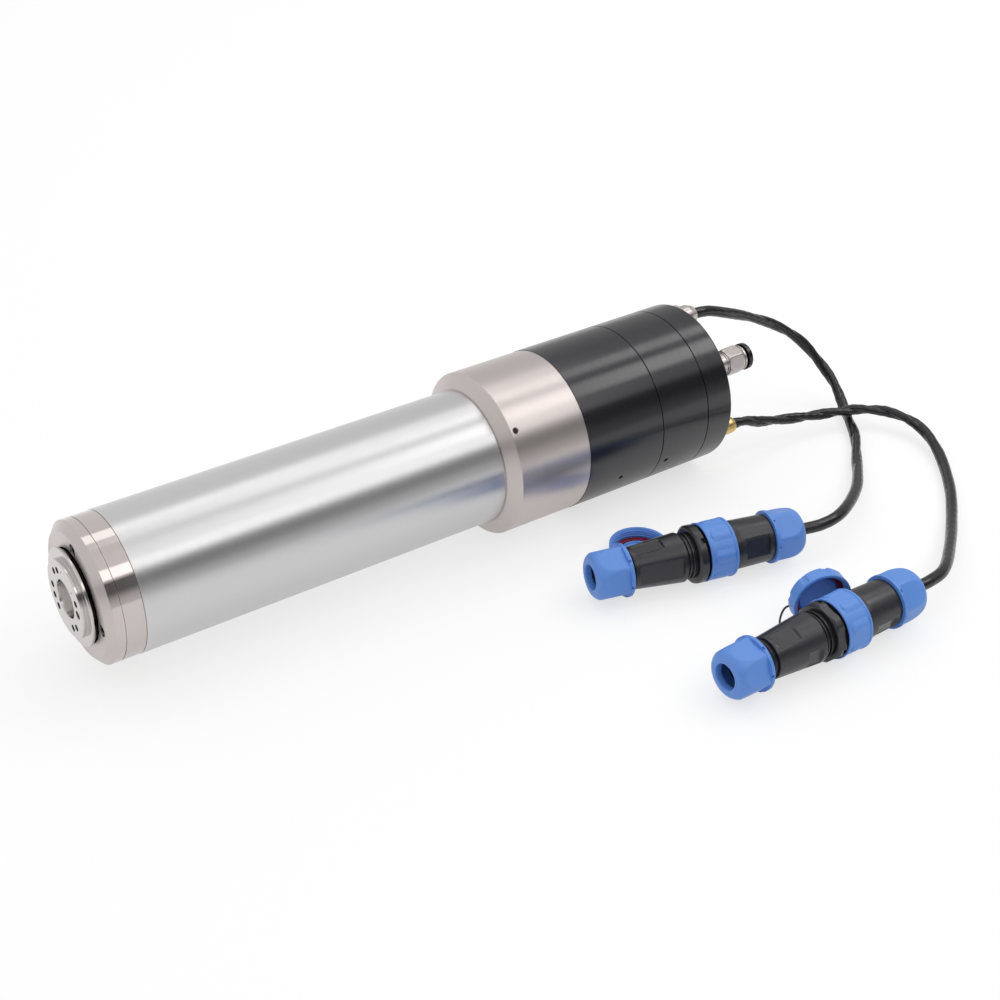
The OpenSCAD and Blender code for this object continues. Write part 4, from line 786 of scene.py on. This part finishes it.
def socket_shell(windows, across, roll, notch_at):
    """The free half: thread, tapered barrel, grooves, flange with flats, and the shell under the coupling ring.

    across and roll are the width and angle of the flange's flats, and notch_at the angle of its first notch.
    """
    thread_r, thread_pitch = 10.75, 1.5
    outline = [(-14.0, 6.5), (-14.0, 10.2)] + fine(-13.6, 11.0, -0.9, 11.0, 0.17)
    outline += [(-0.6, 10.4), (-0.05, 10.4), (0.0, 11.6), (0.1, 11.85), (0.35, 12.0)]
    outline += fine(0.6, 12.03, 30.7, 14.4)
    outline += [(31.1, 14.36), (31.3, 14.2), (31.4, 13.9), (31.4, 12.5), (32.6, 12.5), (32.7, 12.6), (32.7, 13.3),
                (32.8, 13.4), (33.3, 13.4), (33.4, 13.3), (33.4, 12.5), (34.9, 12.5), (34.9, 13.6), (35.0, 13.7),
                (35.5, 13.7), (35.6, 13.6), (35.6, 12.5), (37.3, 12.5), (37.4, 12.6), (37.4, 15.3), (37.5, 15.6),
                (37.9, 16.2), (38.3, 16.7), (38.8, 16.95)]
    outline += fine(39.0, 17.0, 42.2, 17.0, 0.4)
    outline += [(42.5, 16.95), (42.75, 16.7), (42.8, 16.4), (42.8, 14.3), (42.9, 14.2), (59.8, 14.2), (60.0, 14.0),
                (60.0, 11.0), (42.5, 11.0), (42.5, 6.0), (6.0, 6.0), (6.0, 6.5)]

    def shape(x, r, angle):
        if -13.7 < x < -0.8 and r > 10.9:
            return thread_r + 0.3 * math.sin(2 * math.pi * x / thread_pitch - angle)
        if 37.8 < x < 42.78 and r > 15.5:
            return smooth_min(r, polygon_radius(angle, 6, across, roll), 0.3)
        if 0.5 < x < 30.9 and r > 11:
            return recessed(x, r, angle, windows)
        return r

    shell = spun(outline, 240, shape)
    return carved(shell, [moved(block((2.2, 3.4, 3.2), (41.6, 16.7, 0)), turn(notch_at + a, "X"))
                          for a in (0, 120, 240)])


def plug_shell(windows):
    """The corded half: nose inside the shell, shoulder, barrel and its thread under the nut."""
    outline = [(42.9, 6.0), (42.9, 10.4), (43.1, 10.65), (61.0, 10.65), (61.0, 13.8), (61.2, 14.0), (64.0, 14.0),
               (64.4, 14.1), (65.4, 14.2)]
    outline += fine(65.8, 14.2, 85.8, 13.65)
    outline += [(86.5, 13.6), (86.85, 13.5), (87.0, 13.2), (87.0, 11.0), (101.0, 11.0), (101.0, 6.5), (81.0, 6.5),
                (81.0, 6.0)]

    def shape(x, r, angle):
        return recessed(x, r, angle, windows) if 65.5 < x < 86.4 and r > 13 else r

    return spun(outline, 216, shape)


def coupling(roll):
    """A coupling ring with eight raised ribs that slope off to both sides, between two narrow rims."""
    rib_height, half_crest, slope = 0.78, 3.4, 9.6
    outline = [(44.6, 16.1), (44.5, 16.2), (44.5, 16.7), (44.6, 16.95), (44.8, 17.08), (45.1, 17.08), (45.3, 16.98),
               (45.45, 16.75)]
    outline += fine(45.6, 16.7, 59.6, 16.75, 0.2)
    outline += [(59.72, 16.78), (59.8, 17.0), (59.95, 17.15), (61.0, 17.15), (61.25, 17.05), (61.42, 16.8),
                (61.5, 16.4), (61.5, 14.8), (61.4, 14.6), (46.6, 14.6), (46.6, 15.3)]

    def shape(x, r, angle):
        if r < 16.6 or not 46.5 < x < 59.65:
            return r
        a = abs((math.degrees(angle) - roll + 22.5) % 45 - 22.5)
        rib = 1 - min(max((a - half_crest) / slope, 0.0), 1.0)
        start = 46.9 + 1.5 * a / 13.0
        along = min(smooth_step(start, start + 0.55, x), 1 - smooth_step(58.9, 59.4, x))
        return r + rib_height * rib * along

    return spun(outline, 432, shape)


# Per pair: its place, the gap before the free half's nut, how the rings and nuts are rolled, the flange's width
# across flats, roll and notch angle, and the windows of both halves.
PAIRS = {
    "a": dict(
        inside=IN_A, gap=2.0, ring_roll=26.0, nut_roll=8, flange=(33.4, 30.0, 122.0),
        windows=[(2.6, 20.0, 92, 4.6, 1.3), (2.6, 28.6, 172, 6.2, 1.5), (2.6, 20.0, 272, 4.6, 1.3),
                 (2.6, 28.6, 352, 6.2, 1.5)],
        plug_windows=[(68.0, 83.4, 163, 5.8, 1.6), (68.0, 83.4, 343, 5.8, 1.6)]),
    "b": dict(
        inside=IN_B, gap=6.5, ring_roll=19.0, nut_roll=-6, flange=(31.4, 12.0, 72.0),
        windows=[(2.6, 17.0, 108, 5.5, 1.0), (19.5, 28.6, 192, 5.6, 1.6), (2.6, 17.0, 288, 5.5, 1.0),
                 (19.5, 28.6, 12, 5.6, 1.6)],
        plug_windows=[(69.0, 84.0, 205, 5.6, 1.6), (69.0, 84.0, 25, 5.6, 1.6)]),
}

for key, pair in PAIRS.items():
    inside = pair["inside"]
    free_nut_at = inside @ Matrix.Translation((-pair["gap"], 0, 0)) @ turn(pair["nut_roll"], "X")
    cord_nut_at = inside @ Matrix.Translation((S_NUT, 0, 0)) @ turn(180, "Z") @ turn(pair["nut_roll"], "X")
    on_cord[key] += [
        link_mesh(f"socket_{key}_shell", moved(socket_shell(pair["windows"], *pair["flange"]), inside),
                  f"socket_{key}", "black_plastic", [f"socket_{key}_body"]),
        link_mesh(f"socket_{key}_gland_nut", moved(gland_nut(), free_nut_at), f"gland_nut_{key}", "blue_plastic",
                  [f"socket_{key}_nut"]),
        link_mesh(f"plug_{key}_shell", moved(plug_shell(pair["plug_windows"]), inside), "housing", "black_plastic",
                  [f"plug_{key}_body"]),
        link_mesh(f"plug_{key}_gland_nut", moved(gland_nut(), cord_nut_at), "housing", "blue_plastic",
                  [f"plug_{key}_nut"]),
        link_mesh(f"coupling_ring_{key}_moulded", moved(coupling(pair["ring_roll"]), inside),
                  f"coupling_ring_{key}", "blue_plastic", [f"coupling_ring_{key}"]),
    ]

# Dust caps

CAP_R, CAP_THREAD_R, CAP_THREAD_PITCH = 17.2, 15.0, 1.6


def dust_cap():
    """A screw-on cap with its open side along +X: fluted wall, rounded rim, inner thread and a raised floor."""
    outline = [(0, 0), (0, 15.3), (0.12, 15.7), (0.8, 16.6), (1.3, 17.05), (1.7, CAP_R)]
    outline += fine(2.0, CAP_R, 8.2, CAP_R, 0.3)
    outline += [(8.5, 17.18), (8.85, 17.0), (9.0, 16.6), (9.0, 15.8), (8.9, 15.5), (8.6, 15.3)]
    outline += fine(8.4, 15.2, 4.0, 15.2, 0.2)
    outline += [(3.8, 15.2), (2.2, 15.2), (2.0, 15.0), (2.0, 11.2), (2.9, 11.2), (3.1, 11.0), (3.1, 10.2),
                (2.9, 10.0), (2.3, 10.0), (2.2, 9.8), (2.2, 0)]

    def shape(x, r, angle):
        if 0.5 < x < 8.3 and r > 15.9:
            a = (math.degrees(angle) + 22.5) % 45 - 22.5
            across = abs(CAP_R * math.sin(math.radians(a)))
            flute = (1 - smooth_step(1.3, 2.0, across)) * (1 - smooth_step(7.3, 7.7, x))
            facet = polygon_radius(angle, 8, 33.9, 0)
            return min(r, smooth_min(r, facet, 0.3)) - 0.6 * flute
        if 3.9 < x < 8.45 and CAP_THREAD_R < r < 15.3:
            return CAP_THREAD_R + 0.35 * math.sin(2 * math.pi * x / CAP_THREAD_PITCH - angle)
        return r

    return spun(outline, 288, shape)


UP = turn(-90, "Y")
# One cap lies on its closed end, the other stands on its rim and leans back a little.
IN_CAP_A = Matrix.Translation((311.6, -82, TABLE_Z)) @ UP
IN_CAP_B = (Matrix.Translation((352.8, -184.9, TABLE_Z + CAP_R)) @ turn(-17.5, "Z") @ turn(90, "X") @ turn(-8, "Z")
            @ UP)
GASKET = rounded([(2.02, 11.95), (2.02, 14.9), (3.1, 14.9), (3.1, 11.95)], 0.35)
for key, inside in (("a", IN_CAP_A), ("b", IN_CAP_B)):
    on_cord[key] += [
        link_mesh(f"dust_cap_{key}_moulded", moved(dust_cap(), inside), f"dust_cap_{key}", "blue_plastic",
                  [f"dust_cap_{key}"]),
        link_mesh(f"cap_gasket_{key}_ring", moved(spun(GASKET, 144), inside), f"dust_cap_{key}", "red_rubber",
                  [f"cap_gasket_{key}"]),
    ]

LANYARD = [
    (334.9, -183.3, -34.5), (333.3, -182.5, -35.4), (331.9, -182, -37.6), (330.6, -182, -41), (329.8, -182.8, -45),
    (329.2, -186.5, -48.2), (328.9, -191, -48.4), (328.8, -195.5, -46.6), (329, -198.4, -42),
]


def wire(points, r, segments=14):
    """A round wire along points."""
    bm = bmesh.new()
    side = (points[1] - points[0]).cross(Vector((0, 0, 1))).normalized()
    rows = []
    for i, centre in enumerate(points):
        along = (points[min(i + 1, len(points) - 1)] - points[max(i - 1, 0)]).normalized()
        side = (side - along * side.dot(along)).normalized()
        top = along.cross(side)
        rows.append([bm.verts.new(centre + side * (r * math.cos(2 * math.pi * k / segments))
                                  + top * (r * math.sin(2 * math.pi * k / segments))) for k in range(segments)])
    return skinned(bm, rows)


LANYARD_R = 0.6
on_cord["b"].append(link_mesh("cap_lanyard_wire", wire(smooth_route(LANYARD, 8), LANYARD_R), "dust_cap_b",
                              "black_plastic", ["cap_lanyard_b"], sharp=60))

# The two cables

for key, angle, route, inside, heading, twist_at in (("a", ANGLE_A, ROUTE_A, IN_A, HEADING_A, twist_a),
                                                     ("b", ANGLE_B, ROUTE_B, IN_B, HEADING_B, twist_b)):
    cable(f"cable_{key}", angle, route, inside, heading, twist_at)

# Floor, world and lamps

FLOOR_COLOR, FLOOR_GLOW, GLOW_STRENGTH, GLOW_IN_METAL = (0.86, 0.86, 0.86, 1), 0.6, 1.13, 0.75


def floor_material():
    """A pale floor that keeps shadows, and whose glow only the camera and reflections see."""
    material = bpy.data.materials.new("studio_floor")
    material.use_nodes = True
    n = Nodes(material.node_tree)
    matt = n.add("ShaderNodeBsdfPrincipled", {"Base Color": FLOOR_COLOR, "Roughness": 0.8,
                                              "Specular IOR Level": 0.2}).outputs["BSDF"]
    path = n.add("ShaderNodeLightPath").outputs
    bounced = n.math("MAXIMUM", path["Is Glossy Ray"], path["Is Transmission Ray"])
    seen = n.math("MAXIMUM", path["Is Camera Ray"], n.math("MULTIPLY", bounced, GLOW_IN_METAL))
    light = n.add("ShaderNodeEmission", {"Color": (1, 1, 1, 1), "Strength": GLOW_STRENGTH}).outputs["Emission"]
    mixed = n.add("ShaderNodeMixShader", {"Fac": n.math("MULTIPLY", seen, FLOOR_GLOW), 1: matt,
                                          2: light}).outputs["Shader"]
    n.add("ShaderNodeOutputMaterial", {"Surface": mixed})
    return material


floor_mesh = bpy.data.meshes.new("floor")
floor_bm = bmesh.new()
bmesh.ops.create_grid(floor_bm, x_segments=8, y_segments=8, size=6.0)
floor_bm.to_mesh(floor_mesh)
floor_bm.free()
floor_mesh.materials.append(floor_material())
floor = bpy.data.objects.new("floor", floor_mesh)
floor.location = (0.2, -0.05, TABLE_Z * MM - 0.0002)
scene.collection.objects.link(floor)

# The world is dim, brighter overhead and low down, and pale under the horizon. Those two bright parts are weaker on
# the side that the rear sections mirror.
DIM, OVERHEAD, LOW_DOWN, UNDER, REAR_SHARE = 0.1, 0.76, 0.55, 0.86, 0.6
world = bpy.data.worlds.new("studio")
scene.world = world
world.use_nodes = True
n = Nodes(world.node_tree)
direction = n.add("ShaderNodeSeparateXYZ", {"Vector": n.add("ShaderNodeTexCoord").outputs["Generated"]}).outputs
rise = n.math("ARCTAN2", direction["Z"], n.math("MULTIPLY", direction["Y"], -1.0))
above = n.ramp(rise, math.radians(36), math.radians(41))
below = n.ramp(rise, math.radians(21), math.radians(4))
share = n.ramp(direction["X"], 0.485, 0.53, 1.0, REAR_SHARE)
bright = n.math("ADD", n.math("MULTIPLY", above, OVERHEAD), n.math("MULTIPLY", below, LOW_DOWN))
strength = n.math("ADD", DIM, n.math("MULTIPLY", share, bright))
strength = n.math("MAXIMUM", strength, n.ramp(direction["Z"], 0.0, -0.01, 0.0, UNDER))
background = n.add("ShaderNodeBackground", {"Color": (1.0, 0.995, 1.0, 1), "Strength": strength})
n.add("ShaderNodeOutputWorld", {"Surface": background.outputs["Background"]})

LAMP_REACH = 1.9


def softbox(name, low, high, x0, x1, radiance):
    """A soft rectangle that runs along X from x0 to x1, between two angles about X, and faces the axis."""
    a = math.radians((low + high) / 2)
    normal = Vector((0, math.cos(a), math.sin(a)))
    light = bpy.data.lights.new(name, "AREA")
    light.shape = "RECTANGLE"
    light.size = x1 - x0
    light.size_y = 2 * LAMP_REACH * math.tan(math.radians((high - low) / 2))
    light.energy = radiance * math.pi * light.size * light.size_y
    lamp = bpy.data.objects.new(name, light)
    across = Vector((1, 0, 0)).cross(normal)
    facing = Matrix(((1, across.x, normal.x), (0, across.y, normal.y), (0, across.z, normal.z))).to_4x4()
    lamp.matrix_world = Matrix.Translation(Vector(((x0 + x1) / 2, 0, 0)) + normal * LAMP_REACH) @ facing
    scene.collection.objects.link(lamp)


# Name, lowest and highest angle in degrees, first and last x in metres, radiance
LAMPS = (
    ("overhead_nose", 60, 76, -0.3, 0.66, 0.7),
    ("overhead_sleeve", 60, 87, 0.66, 1.34, 1.05),
    ("overhead_collar", 68, 88, 1.34, 1.45, 1.15),
    ("overhead_rear", 74, 88, 1.45, 2.4, 2.5),
    ("front_sleeve", 98, 122, 0.72, 1.45, 0.55),
    ("front_rear", 99, 119, 1.5, 2.4, 3.7),
    ("low_front", 122.5, 138.5, -0.3, 0.66, 0.85),
    ("low_front_sleeve", 124, 139.5, 0.66, 1.42, 1.5),
    ("front_fill", 145, 172, 0.64, 1.45, 0.26),
)
for lamp_row in LAMPS:
    softbox(*lamp_row)

scene.view_settings.view_transform = "Standard"
